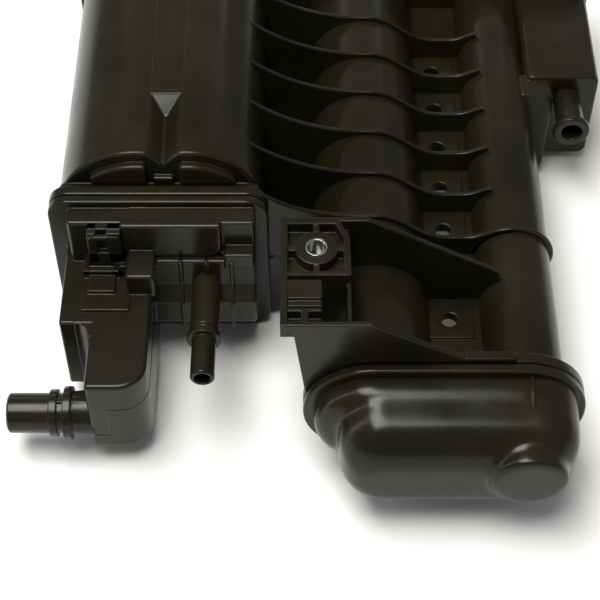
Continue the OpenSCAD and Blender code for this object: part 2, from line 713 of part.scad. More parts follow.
// Outline of the deep part of the bowl, with its top lowered by drop
module deep_section(inset, drop) {
  round_box(mid_x - 13.5 + inset, bowl_right - bowl_edge - 0.4 - inset,
    bowl_bottom + bowl_edge + 0.5 + inset, bowl_top - bowl_edge - 0.8 - drop - inset,
    14 - min(inset, 8));
}

module transfer_bowl() {
  color(moulding) difference() {
    union() {
      along_y(bowl_flange_y, bowl_joint_y) bowl_section(0);
      bowl_form(0);
      block([dome_x + 0.4, bowl_shelf_y - 5, bowl_top - bowl_edge - 8],
        [dome_x + 1.6, bowl_flange_y + 1, bowl_top - bowl_edge + 0.6]);
    }
    bowl_form(wall);
    along_y(bowl_flange_y - eps, bowl_joint_y + 1) bowl_section(bowl_edge + wall + 1);
  }
}

// ---------- rear cover ----------
module rear_cover() {
  color(moulding) difference() {
    union() {
      along_y(body_rear_y, rear_flange_y) rear_section(0);
      along_y(body_rear_y + 1, rear_dome_y - 4) rear_section(4);
      along_y(body_rear_y + 1, rear_dome_y) rear_section(8);
    }
    // one space for the main chamber and the middle tube, one for the tail tube and vent box
    along_y(body_rear_y - 1, rear_dome_y - wall) intersection() {
      rear_section(8 + wall);
      translate([chamber_left - 20, floor_z - 10]) square([web_hole_x - chamber_left + 19, 150]);
    }
    along_y(body_rear_y - 1, rear_dome_y - wall) intersection() {
      rear_section(8 + wall);
      translate([web_hole_x + 1, floor_z - 10]) square([100, 150]);
    }
  }
}

// ---------- bushing ----------
module mount_bushing() {
  color(steel_color) translate([0, 0, -bushing_h]) difference() {
    cylinder(h = bushing_h, r = bushing_r);
    translate([0, 0, -1]) cylinder(h = bushing_h + 2, r = bolt_hole_r);
  }
}

// ---------- filling ----------

// A round disc that fills a tube
module tube_disc(x, r, y0, y1) {
  rod_y(x, tube_z, r - fit_gap, y0, y1);
}

module main_grid() {
  color(plate_color) difference() {
    along_y(barrel_inner_y, barrel_inner_y + plate_t) chamber_section(wall + fit_gap);
    chamber_holes(barrel_inner_y - 1, barrel_inner_y + plate_t + 1);
  }
}
module tube_grid(x, r) {
  color(plate_color) difference() {
    tube_disc(x, r, tube_seat_y, tube_seat_y + plate_t);
    hole_rings(x, tube_z, r - seat_lip, tube_seat_y - 1, tube_seat_y + plate_t + 1);
  }
}
module mid_grid() { tube_grid(mid_x, mid_in_r); }
module tail_grid() { tube_grid(tail_x, tail_in_r); }

main_front_felt_y = barrel_inner_y + plate_t;
tube_front_felt_y = tube_seat_y + plate_t;
module main_front_felt() {
  color(felt_color) along_y(main_front_felt_y, main_front_felt_y + felt_t)
    chamber_section(wall + fit_gap);
}
module mid_front_felt() {
  color(felt_color) tube_disc(mid_x, mid_in_r, tube_front_felt_y, tube_front_felt_y + felt_t);
}
module tail_front_felt() {
  color(felt_color) tube_disc(tail_x, tail_in_r, tube_front_felt_y, tube_front_felt_y + felt_t);
}

module main_carbon_bed() {
  color(carbon_color) along_y(main_front_felt_y + felt_t, rear_felt_y)
    chamber_section(wall + fit_gap);
}
module mid_carbon_bed() {
  color(carbon_color) tube_disc(mid_x, mid_in_r, tube_front_felt_y + felt_t, rear_felt_y);
}
module tail_carbon_bed() {
  color(carbon_color) tube_disc(tail_x, tail_in_r, tube_front_felt_y + felt_t, rear_felt_y);
}

module main_rear_felt() {
  color(felt_color) along_y(rear_felt_y, press_y) chamber_section(wall + fit_gap);
}
module mid_rear_felt() {
  color(felt_color) tube_disc(mid_x, mid_in_r, rear_felt_y, press_y);
}
module tail_rear_felt() {
  color(felt_color) tube_disc(tail_x, tail_in_r, rear_felt_y, press_y);
}

main_spring_r = 11;
mid_spring_r = 12;
tail_spring_r = 8;
main_spring_x = [chamber_x - 19, chamber_x + 19];
main_spring_z = (chamber_floor + lobe_meet_z) / 2;

// Round peg that centres a spring on its plate
module spring_peg(x, z, spring_r) {
  rod_y(x, z, spring_r - spring_wire_r - fit_gap, press_y + plate_t - eps, press_y + plate_t + 3);
}

module main_press_plate() {
  color(plate_color) difference() {
    union() {
      along_y(press_y, press_y + plate_t) chamber_section(wall + fit_gap);
      for (x = main_spring_x) spring_peg(x, main_spring_z, main_spring_r);
    }
    chamber_holes(press_y - 1, press_y + plate_t + 4);
  }
}
module tube_press_plate(x, r, spring_r) {
  color(plate_color) difference() {
    union() {
      tube_disc(x, r, press_y, press_y + plate_t);
      spring_peg(x, tube_z, spring_r);
    }
    hole_rings(x, tube_z, r - seat_lip, press_y - 1, press_y + plate_t + 4);
  }
}
module mid_press_plate() { tube_press_plate(mid_x, mid_in_r, mid_spring_r); }
module tail_press_plate() { tube_press_plate(tail_x, tail_in_r, tail_spring_r); }

// A spring from its press plate to the inside of the rear cover
module rear_spring(x, z, r) {
  color(steel_color) coil_spring(x, z, r, press_y + plate_t, rear_dome_y - wall, 5);
}
module main_spring_left() { rear_spring(main_spring_x[0], main_spring_z, main_spring_r); }
module main_spring_right() { rear_spring(main_spring_x[1], main_spring_z, main_spring_r); }
module mid_spring() { rear_spring(mid_x, tube_z, mid_spring_r); }
module tail_spring() { rear_spring(tail_x, tube_z, tail_spring_r); }

// Foam block that keeps dust out of the vent box
module vent_filter() {
  color([0.2, 0.2, 0.22]) along_y(vent_box_y + 26, body_rear_y - 12)
    round_box(vent_inner_left + fit_gap, vent_box_right - wall - fit_gap,
      vent_box_bottom + wall + fit_gap, vent_box_top - wall - fit_gap, 2);
}

canister_body();
port_cover();
transfer_bowl();
rear_cover();
mount_bushing();
main_grid();
mid_grid();
tail_grid();
main_front_felt();
mid_front_felt();
tail_front_felt();
main_carbon_bed();
mid_carbon_bed();
tail_carbon_bed();
main_rear_felt();
mid_rear_felt();
tail_rear_felt();
main_press_plate();
mid_press_plate();
tail_press_plate();
main_spring_left();
main_spring_right();
mid_spring();
tail_spring();
vent_filter();
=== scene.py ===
"""Fuel vapour canister: moulded shells, ports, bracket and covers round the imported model."""

import json
from math import acos, asin, cos, degrees, pi, radians, sin, sqrt

import bmesh
import bpy
from bpy.props import FloatProperty, FloatVectorProperty, IntProperty, PointerProperty
from mathutils import Matrix, Vector


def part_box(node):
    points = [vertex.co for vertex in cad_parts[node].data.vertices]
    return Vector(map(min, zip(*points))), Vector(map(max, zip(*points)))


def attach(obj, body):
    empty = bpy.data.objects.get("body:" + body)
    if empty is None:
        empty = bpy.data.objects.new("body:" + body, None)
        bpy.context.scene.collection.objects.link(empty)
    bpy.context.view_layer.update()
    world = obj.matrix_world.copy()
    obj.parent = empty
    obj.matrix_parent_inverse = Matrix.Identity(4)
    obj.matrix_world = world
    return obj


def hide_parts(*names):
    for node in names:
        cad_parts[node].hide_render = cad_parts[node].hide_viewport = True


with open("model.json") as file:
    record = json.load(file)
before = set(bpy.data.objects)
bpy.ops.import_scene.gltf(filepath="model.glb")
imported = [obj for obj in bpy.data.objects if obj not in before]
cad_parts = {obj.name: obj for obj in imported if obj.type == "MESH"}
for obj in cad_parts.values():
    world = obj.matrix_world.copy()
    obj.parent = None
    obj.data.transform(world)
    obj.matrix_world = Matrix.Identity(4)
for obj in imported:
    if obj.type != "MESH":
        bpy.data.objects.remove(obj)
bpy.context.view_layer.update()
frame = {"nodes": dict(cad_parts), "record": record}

bl_info = {
    "name": "Fuel vapour canister",
    "version": (1, 0, 0),
    "blender": (4, 5, 0),
    "location": "View3D > Sidebar > Canister",
    "description": "Models the shells, ports and bracket of a fuel vapour canister",
    "category": "Object",
}

# Shapes are drawn in millimetres and scaled to metres when they become objects
MM = 0.001
ROOT = "canister"
PLASTIC = "black_plastic"


# ---------- sizes taken from the frame ----------


def node_box(name):
    """Lowest and highest corners of a CAD node, in millimetres."""
    low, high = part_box(name)
    return low / MM, high / MM


def mount_point(name):
    """A mount's position in millimetres."""
    for mount in frame["record"]["mounts"]:
        if mount["name"] == name:
            return Vector(mount["pos_m"]) / MM
    raise ValueError("the record has no mount called " + name)


COVER_LOW, COVER_HIGH = node_box("port_cover")
BOWL_LOW, BOWL_HIGH = node_box("transfer_bowl")
REAR_LOW, REAR_HIGH = node_box("rear_cover")
BED_LOW, BED_HIGH = node_box("main_carbon_bed")
MID_LOW, MID_HIGH = node_box("mid_carbon_bed")
TAIL_LOW, TAIL_HIGH = node_box("tail_carbon_bed")
BUSHING_LOW, BUSHING_HIGH = node_box("mount_bushing")

WALL = 2.2
BED_GAP = WALL + 0.3
FLOOR = node_box("canister_body")[0].z
REAR = REAR_LOW.y
REAR_END = REAR_HIGH.y
REAR_FLANGE = REAR + 4
CHAMBER_LEFT = BED_LOW.x - BED_GAP
CHAMBER_RIGHT = BED_HIGH.x + BED_GAP
CHAMBER_FLOOR = BED_LOW.z - BED_GAP
CHAMBER_X = (CHAMBER_LEFT + CHAMBER_RIGHT) / 2
LOBE_TOP = BED_HIGH.z + BED_GAP
LOBE_R = (33.0, 28.5)
LOBE_X = (CHAMBER_LEFT + LOBE_R[0], CHAMBER_RIGHT - LOBE_R[1])
LOBE_Z = (LOBE_TOP - LOBE_R[0], LOBE_TOP - LOBE_R[1])
VALLEY_X = (LOBE_X[0] + LOBE_X[1]) / 2
LOBE_MEET = LOBE_Z[1] + sqrt(LOBE_R[1] ** 2 - (LOBE_X[1] - LOBE_X[0]) ** 2 / 4)
BARREL_FRONT = BED_LOW.y - 7.6
FLANGE_JOINT = COVER_HIGH.y
FLANGE_RIGHT = COVER_HIGH.x
FLANGE_LEFT = 2 * CHAMBER_X - FLANGE_RIGHT
FLANGE_BOTTOM = COVER_LOW.z
FLANGE_TOP = FLANGE_BOTTOM + 78.6
TUBE_Z = (MID_LOW.z + MID_HIGH.z) / 2
MID_X = (MID_LOW.x + MID_HIGH.x) / 2
MID_R = (MID_HIGH.x - MID_LOW.x) / 2 + BED_GAP
TAIL_X = (TAIL_LOW.x + TAIL_HIGH.x) / 2
TAIL_R = (TAIL_HIGH.x - TAIL_LOW.x) / 2 + BED_GAP
COLLAR_R = TAIL_R + 1.9
BOWL_JOINT = BOWL_HIGH.y
BOWL_END = BOWL_LOW.y
BOWL_RIGHT = BOWL_HIGH.x
BOWL_EDGE = 3.6
BOWL_FLANGE_FRONT = BOWL_JOINT - 4
JOINT_GAP = 0.25
BODY_END = REAR - 3
CHAMBER_CORNER = 13
VALLEY_HALF = 6.2
TUBES = ((MID_X, MID_R), (TAIL_X, TAIL_R))
GUSSET_Y = 12.6
GUSSET_T = 2.2
RIB_PITCH = 23.2
RIB_T = 2.0
FIRST_RIB = GUSSET_Y + RIB_PITCH
HOLE_X = 53.0
HOLE_R = 3.3
WEB_TOP = TUBE_Z + 1.4
WEB_T = 3.0


# ---------- settings ----------


class CanisterShape(bpy.types.PropertyGroup):
    """Sizes of the moulded details"""

    edge_round: FloatProperty(
        name="Edge round", description="Radius of the moulded edges",
        default=0.00045, min=0.0001, max=0.001, subtype="DISTANCE", unit="LENGTH")
    flange_round: FloatProperty(
        name="Flange edge round", description="Radius of the edges of the weld flanges",
        default=0.0008, min=0.0002, max=0.0015, subtype="DISTANCE", unit="LENGTH")
    rib_count: IntProperty(
        name="Cross ribs", description="Number of ribs across the two tubes",
        default=int((REAR - 18 - FIRST_RIB) // RIB_PITCH) + 1, min=1, max=8)
    valley_depth: FloatProperty(
        name="Valley depth", description="Depth of the groove between the two lobes",
        default=0.0045, min=0.002, max=0.006, subtype="DISTANCE", unit="LENGTH")
    curve_steps: IntProperty(
        name="Curve steps", description="Sides of a full circle", default=72, min=24, max=144)


class CanisterFinish(bpy.types.PropertyGroup):
    """Colours and gloss of the canister"""

    plastic_colour: FloatVectorProperty(
        name="Moulding colour", description="Colour of the black mouldings",
        subtype="COLOR", size=3, default=(0.0105, 0.0092, 0.0043), min=0.0, max=1.0)
    plastic_roughness: FloatProperty(
        name="Moulding roughness", description="Middle roughness of the black mouldings",
        default=0.22, min=0.1, max=0.8, subtype="FACTOR")
    steel_colour: FloatVectorProperty(
        name="Steel colour", description="Colour of the plated bushing",
        subtype="COLOR", size=3, default=(0.50, 0.50, 0.48), min=0.0, max=1.0)


class CanisterStudio(bpy.types.PropertyGroup):
    """Floor, lights and camera"""

    floor_colour: FloatVectorProperty(
        name="Floor colour", description="Colour of the floor",
        subtype="COLOR", size=3, default=(0.9, 0.9, 0.9), min=0.0, max=1.0)
    camera_place: FloatVectorProperty(
        name="Camera place", description="Where the camera stands", size=3,
        subtype="TRANSLATION", unit="LENGTH", default=(-0.0061, -0.3684, 0.4445))
    camera_pitch: FloatProperty(
        name="Camera pitch", description="Angle of the view below the horizon",
        default=radians(52.3), subtype="ANGLE", unit="ROTATION")
    camera_lens: FloatProperty(
        name="Camera lens", description="Focal length in millimetres",
        default=93.3, min=20, max=300)
    light_power: FloatProperty(
        name="Light power", description="Power of the overhead light in watts",
        default=22.0, min=0, max=200)


# ---------- modelling helpers ----------


def rounding():
    return bpy.context.scene.canister_shape.edge_round / MM


def flange_rounding():
    return bpy.context.scene.canister_shape.flange_round / MM


def steps_for(angle):
    """Number of straight steps for an arc of this many degrees."""
    return max(3, round(bpy.context.scene.canister_shape.curve_steps * abs(angle) / 360))


class Outline:
    """A flat outline in X and Z at one Y, drawn as a chain and then filled. Arcs turn clockwise."""

    def __init__(self, x, z, y):
        self.bm = bmesh.new()
        self.y = y
        self.verts = [self.bm.verts.new((x, y, z))]

    def line(self, x, z):
        self.verts.append(self.bm.verts.new((x, self.y, z)))
        return self

    def arc(self, x, z, angle, steps=None):
        count = len(self.bm.verts)
        bmesh.ops.spin(self.bm, geom=[self.verts[-1]], cent=(x, self.y, z), axis=(0, 1, 0),
                       dvec=(0, 0, 0), angle=radians(angle), steps=steps or steps_for(angle),
                       use_duplicate=False)
        self.bm.verts.ensure_lookup_table()
        self.verts += self.bm.verts[count:]
        return self

    def fill(self):
        """The outline as one face in a mesh of its own."""
        ring = list(self.verts)
        if (ring[0].co - ring[-1].co).length < 1e-3:
            ring.pop()
        bm = bmesh.new()
        bm.faces.new([bm.verts.new(v.co) for v in ring])
        bm.normal_update()
        self.bm.free()
        return bm


def extrude(bm, vec):
    """Extrudes the flat faces of a mesh by a vector, as a closed solid."""
    grown = bmesh.ops.extrude_face_region(bm, geom=bm.faces[:])
    moved = [g for g in grown["geom"] if isinstance(g, bmesh.types.BMVert)]
    bmesh.ops.translate(bm, verts=moved, vec=vec)
    bmesh.ops.recalc_face_normals(bm, faces=bm.faces[:])
    return bm


def thicken(bm, end_y):
    """Extrudes the flat faces of a mesh along Y to end_y."""
    return extrude(bm, (0, end_y - bm.verts[:][0].co.y, 0))


def solid_from(outline, end_y):
    return thicken(outline.fill(), end_y)


def pipe_from(outline, end_y, wall):
    """A length of hollow section with open ends and a wall inside the outline."""
    bm = outline.fill()
    inner = bm.faces[:][0]
    bmesh.ops.inset_region(bm, faces=[inner], thickness=wall, use_even_offset=True,
                           use_boundary=True)
    bmesh.ops.delete(bm, geom=[inner], context="FACES")
    return thicken(bm, end_y)


def box_outline(x0, x1, z0, z1, y, corner):
    """A rectangle with round corners."""
    outline = Outline(x0, z1 - corner, y)
    outline.arc(x0 + corner, z1 - corner, 90).line(x1 - corner, z1)
    outline.arc(x1 - corner, z1 - corner, 90).line(x1, z0 + corner)
    outline.arc(x1 - corner, z0 + corner, 90).line(x0 + corner, z0)
    outline.arc(x0 + corner, z0 + corner, 90)
    return outline


def polygon(points, y):
    outline = Outline(points[0][0], points[0][1], y)
    for x, z in points[1:]:
        outline.line(x, z)
    return outline


def slab(low, high):
    """A plain block from its lowest and highest corners."""
    bm = bmesh.new()
    low, high = Vector(low), Vector(high)
    size = high - low
    bmesh.ops.create_cube(bm, size=1, matrix=Matrix.Translation((low + high) / 2)
                          @ Matrix.Diagonal((size.x, size.y, size.z, 1)))
    return bm


def upright(points, z0, z1):
    """A plan outline of (x, y) points extruded from z0 to z1."""
    bm = bmesh.new()
    bm.faces.new([bm.verts.new((x, y, z0)) for x, y in points])
    return extrude(bm, (0, 0, z1 - z0))


def side_profile(profile, x0, x1):
    """A side profile of (y, z) points extruded from x0 to x1."""
    bm = bmesh.new()
    bm.faces.new([bm.verts.new((x0, y, z)) for y, z in profile])
    return extrude(bm, (x1 - x0, 0, 0))


def quarter(x, y, radius, side=-1):
    """A quarter circle in plan round (x, y), from its front (-1) or back (1) to its right."""
    return [(x + radius * sin(radians(a)), y + side * radius * cos(radians(a)))
            for a in range(0, 91, 9)]


def round_bar(x, z, radius, y0, y1):
    """A cylinder along Y."""
    bm = bmesh.new()
    turn = Matrix.Translation((x, (y0 + y1) / 2, z)) @ Matrix.Rotation(-pi / 2, 4, "X")
    bmesh.ops.create_cone(bm, cap_ends=True, cap_tris=False,
                          segments=bpy.context.scene.canister_shape.curve_steps,
                          radius1=radius, radius2=radius, depth=y1 - y0, matrix=turn)
    return bm


def round_pipe(x, z, radius, inner, y0, y1):
    outline = Outline(x, z + radius, y0)
    outline.arc(x, z, 360)
    return pipe_from(outline, y1, radius - inner)


def spin_round(bm, points, axis, steps, closed=False):
    """Spins a chain of points a full turn round an axis through the origin."""
    chain = [bm.verts.new(point) for point in points]
    ends = chain[1:] + chain[:1] if closed else chain[1:]
    edges = [bm.edges.new(pair) for pair in zip(chain, ends)]
    bmesh.ops.spin(bm, geom=chain + edges, cent=(0, 0, 0), axis=axis, dvec=(0, 0, 0),
                   angle=2 * pi, steps=steps, use_merge=True, use_duplicate=False)
    bmesh.ops.remove_doubles(bm, verts=bm.verts[:], dist=1e-4)
    bmesh.ops.recalc_face_normals(bm, faces=bm.faces[:])


def turned(profile, place, direction, steps):
    """A turned piece: (distance along, radius) pairs spun round an axis, closed at both ends."""
    bm = bmesh.new()
    spin_round(bm, [(radius, along, 0) for along, radius in profile], (0, 1, 0), steps)
    turn = Vector((0, 1, 0)).rotation_difference(Vector(direction)).to_matrix().to_4x4()
    bmesh.ops.transform(bm, matrix=Matrix.Translation(place) @ turn, verts=bm.verts[:])
    return bm


def soften(bm, radius, segments=2, sharper_than=28):
    """Rounds every edge that turns by more than this many degrees."""
    sharp = [e for e in bm.edges if len(e.link_faces) == 2
             and e.calc_face_angle(0) > radians(sharper_than)]
    if sharp:
        bmesh.ops.bevel(bm, geom=sharp, offset=radius, offset_type="OFFSET", segments=segments,
                        profile=0.5, affect="EDGES", clamp_overlap=True, material=-1)
    return bm


def pour(source, target):
    """Moves the whole of one mesh into another."""
    mesh = bpy.data.meshes.new("part")
    source.to_mesh(mesh)
    source.free()
    target.from_mesh(mesh)
    bpy.data.meshes.remove(mesh)


class Moulding:
    """Gathers softened solids into one piece."""

    def __init__(self):
        self.bm = bmesh.new()

    def add(self, part, radius=None, segments=2):
        if radius != 0:
            soften(part, rounding() if radius is None else radius, segments)
        pour(part, self.bm)

    def finish(self, name, replaced, cut=None):
        """A black moulded piece that stands in for a CAD node, with the cut's solids taken out."""
        piece = object_from(self.bm, name)
        if cut is not None:
            cut_away(piece, cut)
        finish_piece(piece, plastic(), [replaced])


def in_metres(bm):
    bmesh.ops.transform(bm, matrix=Matrix.Scale(MM, 4), verts=bm.verts[:])
    return bm


def object_from(bm, name):
    mesh = bpy.data.meshes.new(name)
    in_metres(bm).to_mesh(mesh)
    bm.free()
    piece = bpy.data.objects.new(name, mesh)
    bpy.context.scene.collection.objects.link(piece)
    return piece


def settle(piece):
    """Applies the modifiers of a piece to its mesh."""
    depsgraph = bpy.context.evaluated_depsgraph_get()
    mesh = bpy.data.meshes.new_from_object(piece.evaluated_get(depsgraph))
    old = piece.data
    piece.modifiers.clear()
    piece.data = mesh
    bpy.data.meshes.remove(old)


def cut_away(piece, cutter_bm):
    """Takes the cutter's solids out of a piece."""
    cutter = object_from(cutter_bm, "cutter")
    cut = piece.modifiers.new("cut", "BOOLEAN")
    cut.operation = "DIFFERENCE"
    cut.solver = "EXACT"
    cut.use_self = True
    cut.object = cutter
    settle(piece)
    bm = bmesh.new()
    bm.from_mesh(piece.data)
    bmesh.ops.remove_doubles(bm, verts=bm.verts[:], dist=2e-6)
    bmesh.ops.dissolve_degenerate(bm, edges=bm.edges[:], dist=1e-6)
    bm.to_mesh(piece.data)
    bm.free()
    mesh = cutter.data
    bpy.data.objects.remove(cutter)
    bpy.data.meshes.remove(mesh)


def finish_piece(piece, material, replaced=(), smooth_to=32, body=ROOT):
    """Shades, paints and attaches a finished piece."""
    piece.data.polygons.foreach_set("use_smooth", [True] * len(piece.data.polygons))
    piece.data.set_sharp_from_angle(angle=radians(smooth_to))
    normals = piece.modifiers.new("even_shading", "WEIGHTED_NORMAL")
    normals.keep_sharp = True
    piece.data.materials.clear()
    piece.data.materials.append(material)
    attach(piece, body)
    if replaced:
        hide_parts(*replaced)
    return piece


# ---------- materials ----------


class Recipe:
    """A node material read by Object coordinates."""

    def __init__(self, name):
        self.material = bpy.data.materials.new(name)
        self.material.use_nodes = True
        self.nodes = self.material.node_tree.nodes
        self.links = self.material.node_tree.links
        self.shader = self.nodes["Principled BSDF"]
        self.place = self.nodes.new("ShaderNodeTexCoord").outputs["Object"]

    def set(self, **values):
        for name, value in values.items():
            self.shader.inputs[name.replace("_", " ")].default_value = value
        return self

    def noise(self, scale, detail=2.0, roughness=0.5, stretch=None):
        node = self.nodes.new("ShaderNodeTexNoise")
        node.inputs["Scale"].default_value = scale
        node.inputs["Detail"].default_value = detail
        node.inputs["Roughness"].default_value = roughness
        place = self.place
        if stretch:
            mapping = self.nodes.new("ShaderNodeMapping")
            mapping.inputs["Scale"].default_value = stretch
            self.links.new(place, mapping.inputs["Vector"])
            place = mapping.outputs["Vector"]
        self.links.new(place, node.inputs["Vector"])
        return node.outputs["Fac"]

    def cells(self, scale, feature="F1", output="Distance"):
        node = self.nodes.new("ShaderNodeTexVoronoi")
        node.feature = feature
        node.inputs["Scale"].default_value = scale
        self.links.new(self.place, node.inputs["Vector"])
        return node.outputs[output]

    def spread(self, value, low, high, start=0.0, end=1.0):
        """Maps a value from start..end to low..high."""
        node = self.nodes.new("ShaderNodeMapRange")
        for socket, number in (("From Min", start), ("From Max", end),
                               ("To Min", low), ("To Max", high)):
            node.inputs[socket].default_value = number
        self.links.new(value, node.inputs["Value"])
        return node.outputs["Result"]

    def blend(self, factor, first, second):
        """Mixes two colours, or colour sockets, by a factor socket."""
        node = self.nodes.new("ShaderNodeMix")
        node.data_type = "RGBA"
        self.links.new(factor, node.inputs["Factor"])
        for socket, value in ((node.inputs[6], first), (node.inputs[7], second)):
            if isinstance(value, bpy.types.NodeSocket):
                self.links.new(value, socket)
            else:
                socket.default_value = (*value, 1.0)
        return node.outputs[2]

    def join(self, kind, first, second):
        node = self.nodes.new("ShaderNodeMath")
        node.operation = kind
        for socket, value in zip(node.inputs, (first, second)):
            if isinstance(value, bpy.types.NodeSocket):
                self.links.new(value, socket)
            else:
                socket.default_value = value
        return node.outputs["Value"]

    def colour(self, socket):
        self.links.new(socket, self.shader.inputs["Base Color"])

    def rough(self, socket):
        self.links.new(socket, self.shader.inputs["Roughness"])

    def round_edges(self, radius):
        """A normal that rounds edges and inner corners by a radius in metres."""
        node = self.nodes.new("ShaderNodeBevel")
        node.samples = 6
        node.inputs["Radius"].default_value = radius
        return node.outputs["Normal"]

    def bump(self, height, strength, distance, normal=None):
        node = self.nodes.new("ShaderNodeBump")
        node.inputs["Strength"].default_value = strength
        node.inputs["Distance"].default_value = distance
        self.links.new(height, node.inputs["Height"])
        if normal is not None:
            self.links.new(normal, node.inputs["Normal"])
        return node.outputs["Normal"]

    def normal(self, socket):
        self.links.new(socket, self.shader.inputs["Normal"])


def moulded_black():
    """Satin black nylon: soft flow marks, a fine grain and rounded edges painted a little lighter,
    partly as rubbed wear and partly as a painted highlight.
    """
    finish = bpy.context.scene.canister_finish
    recipe = Recipe("moulded_black")
    base = Vector(finish.plastic_colour)
    cloud = recipe.spread(recipe.noise(22, 4, 0.6), 0, 1, 0.35, 0.68)
    body = recipe.blend(cloud, base * 0.75, base * 1.35)
    rounded = recipe.round_edges(0.0007)
    geometry = recipe.nodes.new("ShaderNodeNewGeometry")
    facing = recipe.nodes.new("ShaderNodeVectorMath")
    facing.operation = "DOT_PRODUCT"
    recipe.links.new(rounded, facing.inputs[0])
    recipe.links.new(geometry.outputs["Normal"], facing.inputs[1])
    # Painted highlight mixed with wear: where the rounded normal turns from the face's normal, the
    # edges are painted lighter, as rubbing and as a painted highlight along the edges.
    edge_wear_and_highlight = recipe.spread(facing.outputs["Value"], 0.55, 0.0, 0.80, 0.985)
    edge_wear_and_highlight = recipe.join("MULTIPLY", edge_wear_and_highlight, recipe.spread(recipe.noise(160, 3), 0, 1, 0.38, 0.62))
    worn_and_highlit = recipe.blend(edge_wear_and_highlight, body, (0.055, 0.053, 0.047))
    dust = recipe.spread(recipe.cells(520), 0.5, 0, 0.04, 0.085)
    dust = recipe.join("MULTIPLY", dust, recipe.spread(recipe.noise(75, 2), 0, 1, 0.58, 0.68))
    recipe.colour(recipe.blend(dust, worn_and_highlit, (0.16, 0.155, 0.14)))
    middle = finish.plastic_roughness
    recipe.rough(recipe.spread(recipe.noise(38, 5, 0.65), middle - 0.07, middle + 0.09, 0.3, 0.7))
    flow = recipe.noise(60, 2, 0.5, stretch=(1.0, 0.25, 1.0))
    grain = recipe.noise(2600, 2)
    relief = recipe.bump(flow, 0.12, 0.0006, rounded)
    recipe.normal(recipe.bump(grain, 0.10, 0.00008, relief))
    recipe.set(Specular_IOR_Level=0.24)
    return recipe.material


def turned_steel():
    """Bright plated steel with fine turning marks."""
    recipe = Recipe("turned_steel")
    recipe.set(Metallic=1.0, Anisotropic=0.3)
    base = Vector(bpy.context.scene.canister_finish.steel_colour)
    recipe.colour(recipe.blend(recipe.spread(recipe.noise(420, 3), 0, 1, 0.4, 0.7),
                               base, base * 0.72))
    recipe.rough(recipe.spread(recipe.noise(900, 2), 0.16, 0.34, 0.3, 0.7))
    rings = recipe.nodes.new("ShaderNodeTexWave")
    rings.wave_type = "RINGS"
    rings.rings_direction = "Z"
    rings.inputs["Scale"].default_value = 900
    rings.inputs["Distortion"].default_value = 0.6
    recipe.links.new(recipe.place, rings.inputs["Vector"])
    recipe.normal(recipe.bump(rings.outputs["Fac"], 0.25, 0.00004, recipe.round_edges(0.0003)))
    return recipe.material


def spring_wire():
    recipe = Recipe("spring_wire")
    recipe.set(Metallic=1.0)
    recipe.colour(recipe.blend(recipe.noise(300, 3), (0.34, 0.35, 0.36), (0.52, 0.52, 0.5)))
    recipe.rough(recipe.spread(recipe.noise(700, 2), 0.22, 0.42))
    recipe.normal(recipe.bump(recipe.noise(1500, 2, stretch=(1, 6, 1)), 0.2, 0.00005))
    return recipe.material


def needled_felt():
    """Off-white felt with matted fibres."""
    recipe = Recipe("needled_felt")
    fibres = recipe.noise(900, 4, 0.7, stretch=(1, 3, 1))
    recipe.colour(recipe.blend(fibres, (0.52, 0.49, 0.42), (0.80, 0.77, 0.69)))
    recipe.set(Sheen_Weight=0.4, Roughness=0.95)
    recipe.normal(recipe.bump(fibres, 0.6, 0.0003))
    return recipe.material


def carbon_pellets():
    """Black packed pellets."""
    recipe = Recipe("carbon_pellets")
    pellets = recipe.cells(420)
    # Painted shade: each pellet is painted lighter at its centre and darker towards the gaps
    # between the pellets.
    recipe.colour(recipe.blend(recipe.spread(pellets, 0, 1, 0, 0.6),
                               (0.035, 0.035, 0.035), (0.006, 0.006, 0.006)))
    recipe.rough(recipe.spread(recipe.noise(500, 2), 0.75, 0.95))
    recipe.normal(recipe.bump(recipe.spread(pellets, 1, 0, 0, 0.6), 0.9, 0.0008))
    return recipe.material


def natural_plastic():
    """Milky natural polypropylene."""
    recipe = Recipe("natural_polypropylene")
    recipe.colour(recipe.blend(recipe.noise(60, 3), (0.62, 0.60, 0.53), (0.74, 0.72, 0.66)))
    recipe.rough(recipe.spread(recipe.noise(200, 3), 0.38, 0.55))
    recipe.set(Subsurface_Weight=0.08)
    recipe.normal(recipe.bump(recipe.noise(1200, 2), 0.15, 0.0001, recipe.round_edges(0.0003)))
    return recipe.material


def open_foam():
    """Dark open-cell foam."""
    recipe = Recipe("open_foam")
    pores = recipe.cells(900)
    # Painted shade: the pores are painted darker than the cell walls around them.
    recipe.colour(recipe.blend(recipe.spread(pores, 0, 1, 0, 0.5),
                               (0.02, 0.02, 0.022), (0.13, 0.13, 0.14)))
    recipe.set(Roughness=0.95)
    recipe.normal(recipe.bump(pores, 0.9, 0.0006))
    return recipe.material


def studio_floor(colour):
    recipe = Recipe("studio_floor")
    low = Vector(colour) * 0.985
    recipe.colour(recipe.blend(recipe.noise(4, 2), low, Vector(colour)))
    recipe.set(Roughness=0.8)
    return recipe.material


def plastic():
    return bpy.data.materials.get("moulded_black") or moulded_black()


# ---------- main chamber ----------


